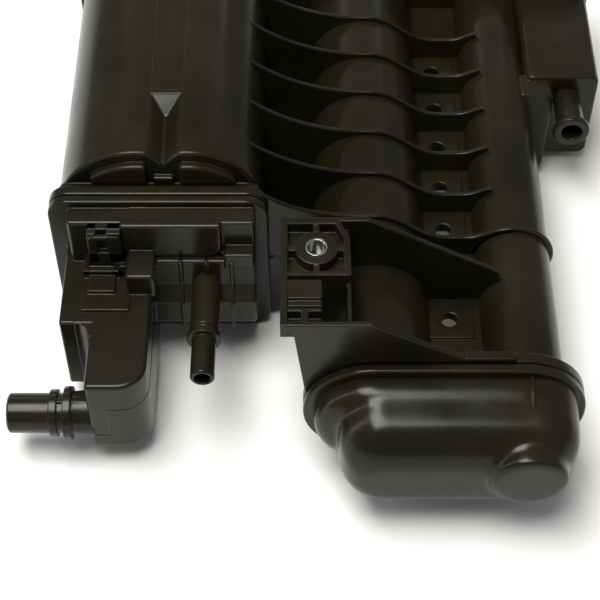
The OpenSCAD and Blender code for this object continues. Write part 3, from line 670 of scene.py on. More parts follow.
def chamber_outline(y, out=0.0, valley=0.0):
    """Section of the main chamber, taken out by out, with a valley of this depth."""
    half = (LOBE_X[1] - LOBE_X[0]) / 2
    meet = [sqrt((r + out) ** 2 - half ** 2) for r in LOBE_R]
    groove = VALLEY_HALF if valley else 0.0
    left_up = degrees(acos((half - groove) / (LOBE_R[0] + out)))
    right_up = degrees(acos((half - groove) / (LOBE_R[1] + out)))
    outline = Outline(CHAMBER_LEFT - out, CHAMBER_FLOOR + CHAMBER_CORNER, y)
    outline.line(CHAMBER_LEFT - out, LOBE_Z[0])
    outline.arc(LOBE_X[0], LOBE_Z[0], 180 - left_up)
    if valley:
        outline.line(VALLEY_X, LOBE_Z[1] + meet[1] - valley)
        outline.line(VALLEY_X + groove, LOBE_Z[1] + sqrt((LOBE_R[1] + out) ** 2
                                                         - (half - groove) ** 2))
    else:
        outline.line(VALLEY_X, LOBE_Z[1] + meet[1])
    outline.arc(LOBE_X[1], LOBE_Z[1], 180 - right_up)
    outline.line(CHAMBER_RIGHT + out, CHAMBER_FLOOR + CHAMBER_CORNER)
    outline.arc(CHAMBER_RIGHT - CHAMBER_CORNER, CHAMBER_FLOOR + CHAMBER_CORNER, 90)
    outline.line(CHAMBER_LEFT + CHAMBER_CORNER, CHAMBER_FLOOR - out)
    outline.arc(CHAMBER_LEFT + CHAMBER_CORNER, CHAMBER_FLOOR + CHAMBER_CORNER, 90)
    return outline


def flange_outline(y, inset=0.0):
    return box_outline(FLANGE_LEFT + inset, FLANGE_RIGHT - inset, FLANGE_BOTTOM + inset,
                       FLANGE_TOP - inset, y, 8.5 - inset)


def crescent(side):
    """Raised crescent in front of a lobe; side is -1 for the left one and 1 for the right."""
    i = 0 if side < 0 else 1
    radius = LOBE_R[i] - 4
    centre = Vector((LOBE_X[i], LOBE_Z[i] - 1))
    low = FLANGE_TOP - 5
    near, far = VALLEY_X + side * 6.5, VALLEY_X + side * 28.4
    ends = sorted((near, far))
    angles = [degrees(asin((x - centre.x) / radius)) for x in ends]
    start = Vector((ends[0], centre.y + sqrt(radius ** 2 - (ends[0] - centre.x) ** 2)))
    outline = Outline(start.x, start.y, BARREL_FRONT - 3)
    outline.arc(centre.x, centre.y, angles[1] - angles[0], 16)
    outline.line(ends[1], low).line(ends[0], low)
    return solid_from(outline, BARREL_FRONT + 0.5)


class CANISTER_OT_chamber(bpy.types.Operator):
    """Models the main chamber with its two lobes, its neck and its front flange"""

    bl_idname = "canister.chamber"
    bl_label = "Main chamber"

    def execute(self, context):
        shape = context.scene.canister_shape
        piece = Moulding()
        valley = shape.valley_depth / MM
        barrel = pipe_from(chamber_outline(BARREL_FRONT, valley=valley), BODY_END, WALL)
        piece.add(barrel, 1.1, 3)
        # flat bridge between the lobes behind the valley, with its sloping front
        bridge_y = BARREL_FRONT + 33
        top = LOBE_TOP - 0.35
        bottom = LOBE_MEET - valley - 1
        piece.add(slab((VALLEY_X - VALLEY_HALF, bridge_y, bottom),
                       (VALLEY_X + VALLEY_HALF, BODY_END, top)), 0.25)
        wedge = bmesh.new()
        foot = top - 0.12
        for side in (-VALLEY_HALF, VALLEY_HALF):
            for y, z in ((0, bottom), (0, foot), (2, foot)):
                wedge.verts.new((VALLEY_X + side, bridge_y + y, z))
        wedge.verts.new((VALLEY_X, bridge_y - 8, bottom + 1))
        bmesh.ops.convex_hull(wedge, input=wedge.verts[:])
        piece.add(wedge, 0.2)
        # front wall, neck, flange
        piece.add(solid_from(chamber_outline(BARREL_FRONT + 0.2, -0.8, valley),
                             BARREL_FRONT + WALL), 0)
        piece.add(pipe_from(flange_outline(FLANGE_JOINT + 1, 3), BARREL_FRONT + 1, WALL), 0.4)
        piece.add(pipe_from(flange_outline(FLANGE_JOINT + JOINT_GAP), FLANGE_JOINT + 5, 5.2),
                  flange_rounding(), 3)
        for side in (-1, 1):
            piece.add(crescent(side), 1.0, 3)
        tab = slab((VALLEY_X - 4, BARREL_FRONT - 2, FLANGE_TOP - 12),
                   (VALLEY_X + 4, BARREL_FRONT + 1, FLANGE_TOP + 2))
        piece.add(tab, 0.8, 3)
        piece.finish("chamber_shell", "canister_body")
        return {"FINISHED"}


# ---------- tubes, web and ribs ----------


def rib_top(x, x0, z0, power):
    """Height of a cross rib's upper edge."""
    crest = TUBE_Z + MID_R + 2
    over_web = TUBE_Z + 11.7
    over_tail = TUBE_Z + COLLAR_R

    def ease(t):
        return (1 - cos(pi * min(1, max(0, t)))) / 2

    if x < MID_X:
        return crest + (z0 - crest) * ((MID_X - x) / (MID_X - x0)) ** power
    if x < HOLE_X + 5:
        return crest + (over_web - crest) * ease((x - MID_X - 3) / (HOLE_X - MID_X - 3))
    return over_web + (over_tail - over_web) * ease((x - HOLE_X - 8) / (TAIL_X - HOLE_X - 10))


def cross_rib(y, x0, x1, z0, power):
    steps = 44
    low0 = 2 * TUBE_Z - (FLOOR + 1.4)
    xs = [x0 + (x1 - x0) * i / steps for i in range(steps + 1)]
    top = [(x, rib_top(x, x0, z0, power)) for x in xs]
    bottom = [(x, 2 * TUBE_Z - rib_top(x, x0, low0, power)) for x in reversed(xs)]
    return solid_from(polygon(top + bottom, y), y + RIB_T)


def tube_bores():
    """Solids that fill the inside of both tubes and of the main chamber."""
    cutter = Moulding()
    for x, radius in TUBES:
        cutter.add(round_bar(x, TUBE_Z, radius - WALL, BOWL_JOINT - 1, REAR + 5), 0)
    cutter.add(solid_from(chamber_outline(BARREL_FRONT + WALL, -WALL), REAR + 5), 0)
    return cutter.bm


class CANISTER_OT_tubes(bpy.types.Operator):
    """Models the middle tube, the tail tube and the drained web between them"""

    bl_idname = "canister.tubes"
    bl_label = "Tubes and web"

    def execute(self, context):
        count = context.scene.canister_shape.rib_count
        piece = Moulding()
        for x, radius in TUBES:
            piece.add(round_pipe(x, TUBE_Z, radius, radius - WALL, BOWL_JOINT + 0.5, BODY_END), 0)
        piece.finish("carbon_tubes", "canister_body")

        web = Moulding()
        web.add(slab((MID_X + MID_R - 1.1, BOWL_JOINT + 1, WEB_TOP - WEB_T),
                     (TAIL_X - TAIL_R + 1.1, BODY_END, WEB_TOP)), 0.3)
        web.add(slab((CHAMBER_RIGHT - 1.5, FIRST_RIB, WEB_TOP - WEB_T),
                     (MID_X - MID_R + 1.1, BODY_END, WEB_TOP)), 0.3)
        drills = Moulding()
        for i in range(-1, count):
            y = FIRST_RIB + i * RIB_PITCH - 10.9
            web.add(slab((HOLE_X - 9.5, y - 9, WEB_TOP - 0.5), (HOLE_X + 9.5, y + 9, WEB_TOP + 1)),
                    0.45, 3)
            drill = turned([(-8, 0), (-8, HOLE_R), (4.45, HOLE_R), (5.6, HOLE_R + 1.1), (5.6, 0)],
                           (HOLE_X, y, WEB_TOP - WEB_T), (0, 0, 1), 36)
            bmesh.ops.translate(drill, verts=drill.verts[:], vec=(0, 0, -0.75))
            drills.add(drill, 0)
        web.finish("drained_web", "canister_body", cut=drills.bm)
        return {"FINISHED"}


class CANISTER_OT_ribs(bpy.types.Operator):
    """Models the cross ribs and the collar round the tail tube"""

    bl_idname = "canister.ribs"
    bl_label = "Cross ribs"

    def execute(self, context):
        piece = Moulding()
        for i in range(context.scene.canister_shape.rib_count):
            y = FIRST_RIB + i * RIB_PITCH
            if i == 0:
                rib = cross_rib(y, CHAMBER_RIGHT + 1, TAIL_X, -12.3, 2.8)
            else:
                rib = cross_rib(y, CHAMBER_RIGHT - 10, TAIL_X - TAIL_R / 2, -3.0, 2.2)
            piece.add(rib, 0.55, 3)
        piece.finish("cross_ribs", "canister_body", cut=tube_bores())
        collar = Moulding()
        collar.add(round_pipe(TAIL_X, TUBE_Z, COLLAR_R, TAIL_R - 1, FIRST_RIB, FIRST_RIB + RIB_T),
                   0.6, 3)
        collar.finish("tail_collar", "canister_body")
        return {"FINISHED"}


# ---------- bracket ----------

TRAY_LEFT, TRAY_RIGHT = -13.3, 12.7
TRAY_FRONT = -13.4
TRAY_FLOOR = -5.0
TRAY_BOTTOM = -7.0
RAIL_LEFT, RAIL_RIGHT = -10.7, 1.9
RAIL_FRONT, RAIL_REAR = -23.5, -14.8


class CANISTER_OT_bracket(bpy.types.Operator):
    """Models the mounting bracket: gusset plates, bushing tray and clip rail"""

    bl_idname = "canister.bracket"
    bl_label = "Bracket"

    def execute(self, context):
        piece = Moulding()
        bowl_top = TUBE_Z + MID_R + BOWL_EDGE
        rear_x = TAIL_X - 8
        front_x = MID_X + 34
        piece.add(solid_from(polygon([
            (TRAY_LEFT, 0), (20, 0), (rear_x, TUBE_Z + 18), (rear_x, TUBE_Z), (MID_X, TUBE_Z),
            (TRAY_LEFT + 12, TUBE_Z + 14), (TRAY_LEFT, TRAY_BOTTOM)], GUSSET_Y),
            GUSSET_Y + GUSSET_T), 0.5, 3)
        piece.add(solid_from(polygon([
            (TRAY_LEFT, 0), (20, 0), (front_x, bowl_top + 1), (front_x, TUBE_Z),
            (MID_X - MID_R - 2, TUBE_Z), (TRAY_LEFT + 4.8, -5.5), (TRAY_LEFT, -4)],
            BOWL_JOINT + 0.1),
            BOWL_JOINT + GUSSET_T), 0.5, 3)
        back = GUSSET_Y + 1
        root = TRAY_FLOOR - 1
        cut_x, cut_y = TRAY_RIGHT - 4.1, back - 9
        # floor of the tray and the wall across its cut corner
        piece.add(upright(((TRAY_LEFT, TRAY_FRONT), (TRAY_RIGHT, TRAY_FRONT), (TRAY_RIGHT, cut_y),
                           (cut_x, back), (TRAY_LEFT, back)), TRAY_BOTTOM, TRAY_FLOOR), 0.4)
        piece.add(upright(((TRAY_RIGHT, cut_y), (cut_x, back), (cut_x - 2, back - 0.9),
                           (TRAY_RIGHT - 2, cut_y - 0.9)), root, 0), 0.4)
        for low, high in (
                ((TRAY_LEFT, BOWL_JOINT + 0.1, TRAY_BOTTOM), (TRAY_LEFT + 2.6, back, 0)),
                ((TRAY_RIGHT - 2.6, TRAY_FRONT, root), (TRAY_RIGHT, cut_y, 0)),
                ((TRAY_LEFT, TRAY_FRONT, root), (TRAY_RIGHT, TRAY_FRONT + 2, 0)),
                ((TRAY_LEFT, GUSSET_Y - 1.2, root), (cut_x, back, 0)),
                ((TRAY_RIGHT - 1.4, BOWL_JOINT + 1, -22), (TRAY_RIGHT, back, TRAY_FLOOR)),
                ((RAIL_LEFT - 1, RAIL_FRONT, TRAY_BOTTOM), (RAIL_RIGHT, RAIL_REAR, -0.6)),
                ((RAIL_LEFT - 1, RAIL_FRONT - 2.7, TRAY_BOTTOM), (RAIL_RIGHT, RAIL_FRONT + 1, -2)),
                ((RAIL_LEFT - 1, BOWL_JOINT + 0.1, TRAY_BOTTOM), (RAIL_RIGHT, RAIL_FRONT, -5)),
                ((RAIL_LEFT, RAIL_FRONT - 6, root), (RAIL_RIGHT, RAIL_FRONT - 4.4, -0.6))):
            piece.add(slab(low, high), 0.4, 2)
        # stem of the rail
        middle = (RAIL_LEFT + RAIL_RIGHT) / 2
        piece.add(slab((middle - 1.4, BOWL_JOINT + 0.1, root),
                       (middle + 1.4, RAIL_FRONT - 5.5, -0.6)), 0.35)
        # boss with four ribs
        reach = BUSHING_HIGH.x
        boss = turned([(BUSHING_LOW.z, 0), (BUSHING_LOW.z, 8), (-0.3, 8), (-0.3, reach + 0.3),
                       (-0.7, reach), (-0.7, 0)], (0, 0, 0), (0, 0, 1), 64)
        piece.add(boss, 0.35, 3)
        for angle, length in ((0, TRAY_RIGHT - 1), (90, GUSSET_Y - 0.5), (180, -TRAY_LEFT - 1),
                              (270, -TRAY_FRONT - 1)):
            rib = slab((7, -1.2, root), (length, 1.2, -0.6))
            bmesh.ops.rotate(rib, cent=(0, 0, 0), matrix=Matrix.Rotation(radians(angle), 3, "Z"),
                             verts=rib.verts[:])
            piece.add(rib, 0.35)
        cutter = Moulding()
        cutter.add(round_bar(MID_X, TUBE_Z, MID_R - WALL, BOWL_JOINT - 1, REAR + 5), 0)
        cutter.add(turned([(-20, 0), (-20, reach - 0.02), (5, reach - 0.02), (5, 0)], (0, 0, 0),
                          (0, 0, 1), 64), 0)
        piece.finish("bracket", "canister_body", cut=cutter.bm)
        return {"FINISHED"}


class CANISTER_OT_bushing(bpy.types.Operator):
    """Turns the steel bushing with its chamfers"""

    bl_idname = "canister.bushing"
    bl_label = "Bushing"

    def execute(self, context):
        outer = BUSHING_HIGH.x
        bore = 3.25
        low, high = BUSHING_LOW.z, BUSHING_HIGH.z
        bm = bmesh.new()
        section = ((bore, low + 0.4), (bore + 0.3, low), (outer - 0.3, low), (outer, low + 0.3),
                   (outer, high - 0.2), (outer - 0.15, high), (bore + 0.35, high),
                   (bore, high - 0.5))
        spin_round(bm, [(r, 0, z) for r, z in section], (0, 0, 1), 72, closed=True)
        obj = object_from(bm, "steel_bushing")
        finish_piece(obj, turned_steel(), ["mount_bushing"])
        return {"FINISHED"}


# ---------- port cover ----------

PANEL_LEFT = FLANGE_LEFT + 8.5
PANEL_RIGHT = FLANGE_RIGHT - 5.1
PANEL_FRONT = FLANGE_JOINT - 12.2
PANEL_TOP = FLANGE_TOP - 3
LEDGE_Z = PANEL_TOP - 17
LEDGE_Y = PANEL_FRONT - 5.3
APRON_Y = LEDGE_Y - 5.4
APRON_TOP = LEDGE_Z - 13.8
APRON_BOTTOM = LEDGE_Z - 32
COVER_BOTTOM = FLANGE_BOTTOM + 5
ELBOW_TOP = PANEL_TOP - 23
ELBOW_BOTTOM = ELBOW_TOP - 40.4
ELBOW_LEFT = PANEL_LEFT + 9.3
ELBOW_RIGHT = ELBOW_LEFT + 23.2
ELBOW_FRONT = LEDGE_Y - 56
ELBOW_CORNER = 11
BOX_FRONT = ELBOW_FRONT + 30.4
SPIGOT_WALL = 1.6
PURGE = mount_point("purge_port")
LOAD = mount_point("load_port")
VENT = mount_point("vent_port")
PURGE_R = 4.745
LOAD_R = 7.91
FINS = (PURGE.x - 9.8, PURGE.x + 0.3, PURGE.x + 10.3)


def stepped_front(x0, x1):
    """The stepped right half of the cover."""
    return side_profile(
        ((FLANGE_JOINT - 2, PANEL_TOP), (PANEL_FRONT, PANEL_TOP), (PANEL_FRONT, LEDGE_Z),
         (LEDGE_Y, LEDGE_Z), (LEDGE_Y, APRON_TOP), (APRON_Y, APRON_TOP - 5.4),
         (APRON_Y, APRON_BOTTOM), (FLANGE_JOINT - 4, COVER_BOTTOM),
         (FLANGE_JOINT - 2, COVER_BOTTOM)), x0, x1)


def step_fin(x):
    """A thin fin down the stepped front, ending a little below its lower edge."""
    upper, lower = LEDGE_Y - 1.2, APRON_Y - 1.2
    return side_profile(
        ((FLANGE_JOINT - 5, LEDGE_Z), (upper, LEDGE_Z), (upper, APRON_TOP),
         (lower, APRON_TOP - 5.4), (lower, APRON_BOTTOM - 2),
         (FLANGE_JOINT - 5, APRON_BOTTOM - 14)), x - 0.7, x + 0.7)


def raised_panel(x0, x1, z0, z1, y):
    """The raised panel's front face, with a round lower right corner."""
    outline = Outline(x0, z0, y)
    outline.line(x0, z1).line(x1, z1).line(x1, z0 + 6).arc(x1 - 6, z0 + 6, 90, 8)
    return outline.fill()


def elbow_duct(out, z0, z1):
    """The upright duct with one big round front corner."""
    corner = ELBOW_CORNER - out
    right, front = ELBOW_RIGHT + out, ELBOW_FRONT - out
    curve = quarter(right - corner, front + corner, corner)
    points = [(ELBOW_LEFT - out, FLANGE_JOINT - 3), (ELBOW_LEFT - out, front)] + curve
    return upright(points + [(right, FLANGE_JOINT - 3)], z0, z1)


def parting_line():
    """The thin step that the mould's halves left on the duct's front."""
    step_x = ELBOW_LEFT + 7.5
    upper, lower = ELBOW_TOP - 15.3, ELBOW_TOP - 32.6
    proud, width = 0.14, 0.28
    yield slab((step_x, ELBOW_FRONT - proud, lower), (step_x + width, ELBOW_FRONT + 1, upper))
    yield slab((ELBOW_LEFT + 1.5, ELBOW_FRONT - proud, lower),
               (step_x, ELBOW_FRONT + 1, lower + width))
    path = [(step_x, ELBOW_FRONT + 1), (step_x, ELBOW_FRONT - proud)]
    path += quarter(ELBOW_RIGHT - ELBOW_CORNER, ELBOW_FRONT + ELBOW_CORNER, ELBOW_CORNER + proud)
    path += [(ELBOW_RIGHT + proud, FLANGE_JOINT - 20), (ELBOW_RIGHT - 3, FLANGE_JOINT - 20),
             (ELBOW_RIGHT - 6, ELBOW_FRONT + 6)]
    yield upright(path, upper, upper + width)


class CANISTER_OT_port_cover(bpy.types.Operator):
    """Models the welded port cover with its duct, ledges and fins"""

    bl_idname = "canister.port_cover"
    bl_label = "Port cover"

    def execute(self, context):
        piece = Moulding()
        piece.add(solid_from(flange_outline(FLANGE_JOINT - 4), FLANGE_JOINT - JOINT_GAP),
                  flange_rounding(), 3)
        piece.add(stepped_front(ELBOW_LEFT + 14, PANEL_RIGHT), 1.0, 3)
        piece.add(slab((PANEL_LEFT, PANEL_FRONT + 0.15, COVER_BOTTOM),
                       (ELBOW_RIGHT - 1, FLANGE_JOINT - 1, PANEL_TOP - 0.15)), 1.2, 3)
        piece.add(slab((ELBOW_LEFT - 12, BOX_FRONT, ELBOW_BOTTOM),
                       (ELBOW_LEFT + 2, FLANGE_JOINT - 2, ELBOW_TOP)), 1.0, 3)
        piece.add(elbow_duct(0, ELBOW_BOTTOM, ELBOW_TOP), 1.6, 4)
        # hollow corner between the box and the duct
        reach = 6
        hollow = [(ELBOW_LEFT + 1, BOX_FRONT + 3), (ELBOW_LEFT - reach, BOX_FRONT + 3)]
        hollow += quarter(ELBOW_LEFT - reach, BOX_FRONT - reach, reach, side=1)
        hollow.append((ELBOW_LEFT + 1, BOX_FRONT - reach))
        piece.add(upright(hollow, ELBOW_BOTTOM + 1, ELBOW_TOP - 0.06), 0)
        for part in parting_line():
            piece.add(part, 0)
        # raised panel and the block beside it
        piece.add(thicken(raised_panel(ELBOW_LEFT + 11.5, PURGE.x + 6.6, LEDGE_Z + 0.3,
                                       PANEL_TOP + 1.5, PANEL_FRONT - 3), PANEL_FRONT + 1), 1.1, 3)
        piece.add(slab((PURGE.x + 7.5, LEDGE_Y - 0.4, LEDGE_Z - 4),
                       (PANEL_RIGHT - 0.5, PANEL_FRONT + 1, LEDGE_Z + 4.2)), 0.7, 3)
        # hump over the start of the duct
        hump_left, hump_right = ELBOW_LEFT + 13.6, ELBOW_RIGHT + 1.6
        piece.add(slab((hump_left, LEDGE_Y - 11.5, ELBOW_TOP - 2),
                       (hump_right, PANEL_FRONT + 1, ELBOW_TOP + 10.5)), 1.3, 3)
        for x in FINS:
            piece.add(step_fin(x), 0.35)
        piece.finish("port_cover_shell", "port_cover")
        return {"FINISHED"}


class CANISTER_OT_clips(bpy.types.Operator):
    """Models the two moulded hose clips on the port cover"""

    bl_idname = "canister.clips"
    bl_label = "Hose clips"

    def execute(self, context):
        piece = Moulding()
        left, right = ELBOW_LEFT - 1.2, ELBOW_LEFT + 12
        front, back = PANEL_FRONT - 5, PANEL_FRONT + 1
        low, high = LEDGE_Z - 1, PANEL_TOP - 0.5
        # upper clip: back plate, two cheeks, a sill and a bridge over the slot
        for a, b in (((left, front + 2.5, low), (right, back, high)),
                     ((left, front, low), (left + 3.6, back, high)),
                     ((right - 5.6, front, low), (right, back, high)),
                     ((left, front, low), (right, back, low + 6)),
                     ((left + 1, front - 0.5, high - 3.5), (right - 1, front + 1.3, high - 1.5))):
            piece.add(slab(a, b), 0.45, 2)
        # lower clip: cheeks, roof, tongue, foot and hook
        for a, b in (((left - 2.6, LEDGE_Y - 4, ELBOW_TOP - 1), (left, back, low)),
                     ((right - 4.2, LEDGE_Y - 4, ELBOW_TOP - 1), (right - 1.6, back, low)),
                     ((left - 2.6, LEDGE_Y - 4, low - 2.4), (right - 1.6, back, low)),
                     ((left - 1, LEDGE_Y - 1.5, ELBOW_TOP - 1), (right - 3, back, low)),
                     ((left - 0.4, LEDGE_Y - 12, ELBOW_TOP - 1),
                      (right - 3, LEDGE_Y + 1, ELBOW_TOP + 2.6)),
                     ((left - 2.6, LEDGE_Y - 20, ELBOW_TOP - 1),
                      (right + 3, LEDGE_Y - 3, ELBOW_TOP + 1)),
                     ((right - 1.6, LEDGE_Y - 2, ELBOW_TOP + 1),
                      (right + 1, back, ELBOW_TOP + 5.4))):
            piece.add(slab(a, b), 0.4, 2)
        piece.finish("hose_clips", "port_cover")
        return {"FINISHED"}


class CANISTER_OT_ports(bpy.types.Operator):
    """Turns the load port, the purge port and the vent port"""

    bl_idname = "canister.ports"
    bl_label = "Ports"

    def execute(self, context):
        load = Moulding()
        run = ELBOW_LEFT - LOAD.x
        bore = LOAD_R - SPIGOT_WALL
        straight = 16.6
        load.add(turned([
            (14, 0), (14, bore), (0.4, bore), (0, bore + 0.4), (0, LOAD_R - 0.9), (0.8, LOAD_R),
            (straight, LOAD_R), (straight, LOAD_R + 1.45), (straight + 3, LOAD_R + 1.45),
            (straight + 3, LOAD_R), (straight + 5.6, LOAD_R), (straight + 5.6, LOAD_R + 2.6),
            (straight + 8.6, LOAD_R + 2.6), (straight + 8.6, LOAD_R + 0.6),
            (run, LOAD_R + 1.4), (run + 1.5, LOAD_R + 1.4), (run + 1.5, 0)],
            LOAD, (1, 0, 0), 72), 0.35, 2)
        load.add(slab((LOAD.x + straight + 1, LOAD.y - 1, LOAD.z + LOAD_R - 1),
                      (ELBOW_LEFT + 1, LOAD.y + 1, LOAD.z + LOAD_R + 1)), 0.3)
        load.finish("load_port_spigot", "port_cover")

        purge = Moulding()
        end = LEDGE_Y + 1 - PURGE.y
        bore = PURGE_R - SPIGOT_WALL
        purge.add(turned([
            (12, 0), (12, bore), (0.3, bore), (0, bore + 0.3), (0, PURGE_R - 0.6), (0.6, PURGE_R),
            (18, PURGE_R), (18, PURGE_R + 1.95), (20.6, PURGE_R + 1.95), (20.6, PURGE_R),
            (22.4, PURGE_R), (23, PURGE_R + 0.9), (end, PURGE_R + 0.9), (end, 0)],
            PURGE, (0, 1, 0), 56), 0.3, 2)
        purge.finish("purge_port_spigot", "port_cover")

        vent = Moulding()
        bore = 4.4
        vent.add(turned([
            (21, 0), (21, bore), (0.4, bore), (0, bore + 0.4), (0, 7.4), (0.6, 8), (2.3, 8),
            (5, 6), (22, 6), (22, 0)], VENT, (0, 1, 0), 56), 0.25, 2)
        vent.finish("vent_port_spigot", "canister_body")
        return {"FINISHED"}


# ---------- transfer bowl ----------


def bowl_outline(y, inset=0.0):
    """Round on the left round the middle tube, cornered on the right."""
    radius = MID_R + BOWL_EDGE - inset
    corner = max(26 - inset, 4)
    corner = min(corner, radius - 0.05)
    right = BOWL_RIGHT - inset
    outline = Outline(MID_X, TUBE_Z - radius, y)
    outline.arc(MID_X, TUBE_Z, 180, 36).line(right - corner, TUBE_Z + radius)
    outline.arc(right - corner, TUBE_Z + radius - corner, 90, 18)
    outline.line(right, TUBE_Z - radius + corner)
    outline.arc(right - corner, TUBE_Z - radius + corner, 90, 18)
    return outline


def domed(outline_at, y_back, y_front, radius, steps=8):
    """A solid whose front edge is rounded: one outline at each step of the rounding."""
    bm = bmesh.new()
    loops = []
    rows = [(0.0, y_back)]
    for i in range(steps + 1):
        a = pi / 2 * i / steps
        rows.append((radius * (1 - cos(a)), y_front + radius * (1 - sin(a))))
    for inset, y in rows:
        count = len(bm.edges)
        pour(outline_at(y, inset).fill(), bm)
        bm.edges.ensure_lookup_table()
        loops.append(bm.edges[count:])
    ends = {0, len(loops) - 1}
    inner = [loops[i][0].link_faces[0] for i in range(len(loops)) if i not in ends]
    bmesh.ops.delete(bm, geom=inner, context="FACES_ONLY")
    for first, second in zip(loops, loops[1:]):
        bmesh.ops.bridge_loops(bm, edges=list(first) + list(second))
    bmesh.ops.recalc_face_normals(bm, faces=bm.faces[:])
    return bm


def melt_together(piece, voxel, rounds):
    """Fuses overlapping solids into one skin with blended corners."""
    remesh = piece.modifiers.new("fuse", "REMESH")
    remesh.mode = "VOXEL"
    remesh.voxel_size = voxel
    settle(piece)
    bm = bmesh.new()
    bm.from_mesh(piece.data)
    for _ in range(rounds):
        bmesh.ops.smooth_vert(bm, verts=bm.verts[:], factor=0.5, use_axis_x=True,
                              use_axis_y=True, use_axis_z=True)
    bm.to_mesh(piece.data)
    bm.free()


class CANISTER_OT_bowl(bpy.types.Operator):
    """Models the transfer bowl, its weld flanges and its round end"""

    bl_idname = "canister.bowl"
    bl_label = "Transfer bowl"

    def execute(self, context):
        flange = Moulding()
        flange.add(solid_from(bowl_outline(BOWL_FLANGE_FRONT), BOWL_JOINT - JOINT_GAP),
                   flange_rounding(), 3)
        flange.finish("bowl_flange", "transfer_bowl")
        body_flange = Moulding()
        body_flange.add(pipe_from(bowl_outline(BOWL_JOINT + JOINT_GAP), BOWL_JOINT + 5, 5.6),
                        flange_rounding(), 3)
        tab_top = TUBE_Z + MID_R + BOWL_EDGE + 2
        body_flange.add(slab((TAIL_X - 26, BOWL_JOINT + JOINT_GAP, tab_top - 4),
                             (TAIL_X - 7, BOWL_JOINT + 4, tab_top)), 0.5)
        body_flange.finish("bowl_weld_flange", "canister_body")

        shell = Moulding()
        shelf_y = BOWL_FLANGE_FRONT - 9.5
        deep_y = BOWL_FLANGE_FRONT - 28.5
        shell.add(domed(lambda y, inset: bowl_outline(y, BOWL_EDGE + 0.4 + inset),
                        BOWL_JOINT - 1, shelf_y, 6), 0)

        def deep(y, inset):
            drop = min(4.6, (BOWL_FLANGE_FRONT - y) * 0.17)
            return box_outline(MID_X - 13.5 + 0.8 * inset,
                               BOWL_RIGHT - BOWL_EDGE - 0.4 - 0.9 * inset,
                               TUBE_Z - MID_R + 0.5 + 0.55 * inset,
                               TUBE_Z + MID_R - 0.8 - drop - 1.1 * inset, y,
                               max(16 - 0.7 * inset, 6))

        shell.add(domed(deep, BOWL_JOINT - 1, deep_y, 14, 12), 0)
        dome_r = TAIL_R - 0.6
        shell.add(domed(lambda y, inset: round_outline(TAIL_X - 2, TUBE_Z, dome_r - inset, y),
                        BOWL_JOINT - 1, BOWL_END, 1.4), 0)
        obj = object_from(shell.bm, "bowl_shell")
        melt_together(obj, 0.0008, 14)
        finish_piece(obj, plastic(), ["transfer_bowl"], smooth_to=60)
        rib = Moulding()
        top = TUBE_Z + MID_R
        rib.add(side_profile(((BOWL_FLANGE_FRONT + 1, top + 0.6), (shelf_y + 2, top + 0.2),
                              (shelf_y - 5, top - 4), (shelf_y - 5, top - 8),
                              (BOWL_FLANGE_FRONT + 1, top - 8)), TAIL_X - 1.5, TAIL_X - 0.5), 0.3)
        # the gate mark low on the bowl's front
        rib.add(turned([(-1, 0), (-1, 3.4), (0.35, 3.2), (0.1, 1.6), (-0.1, 0)],
                       (MID_X + 29, deep_y + 0.3, TUBE_Z - 9), (0, -1, 0), 40), 0.12)
        rib.finish("bowl_rib", "transfer_bowl")
        return {"FINISHED"}


def round_outline(x, z, radius, y):
    outline = Outline(x, z + radius, y)
    outline.arc(x, z, 360, 72)
    return outline


# ---------- rear ----------

VENT_BOX_Y = VENT.y + 21
VENT_BOX_LEFT = TAIL_X + TAIL_R - 3
VENT_BOX_RIGHT = TAIL_X + 45
VENT_BOX_TOP = TUBE_Z + 14
VENT_BOX_BOTTOM = FLOOR + 5


class CANISTER_OT_vent_box(bpy.types.Operator):
    """Models the vent box beside the tail tube"""

    bl_idname = "canister.vent_box"
    bl_label = "Vent box"

    def execute(self, context):
        piece = Moulding()
        box = solid_from(box_outline(VENT_BOX_LEFT, VENT_BOX_RIGHT, VENT_BOX_BOTTOM,
                                     VENT_BOX_TOP, VENT_BOX_Y, 4), BODY_END)
        piece.add(box, 1.2, 3)
        piece.add(solid_from(box_outline(VENT_BOX_LEFT - 4, VENT_BOX_LEFT + 12, VENT_BOX_BOTTOM,
                                         VENT_BOX_TOP - 2, VENT_BOX_Y - 9, 3), VENT_BOX_Y + 4),
                  1.0, 3)
        cutter = Moulding()
        cutter.add(slab((VENT_BOX_LEFT + WALL + 1.5, VENT_BOX_Y + WALL, VENT_BOX_BOTTOM + WALL),
                        (VENT_BOX_RIGHT - WALL, REAR + 5, VENT_BOX_TOP - WALL)), 0)
        cutter.add(round_bar(TAIL_X, TUBE_Z, TAIL_R - WALL, VENT_BOX_Y - 20, REAR + 5), 0)
        piece.finish("vent_box", "canister_body", cut=cutter.bm)
        return {"FINISHED"}


def rear_plate(y0, y1, inset):
    """The two overlapping solids of the rear section: the chamber's and the tubes'."""
    first = solid_from(chamber_outline(y0, 5 - inset), y1)
    second = solid_from(box_outline(CHAMBER_LEFT - 5 + inset, VENT_BOX_RIGHT + 2 - inset,
                                    FLOOR + inset, TUBE_Z + MID_R + 5 - inset, y0,
                                    12 - min(inset, 8)), y1)
    return first, second


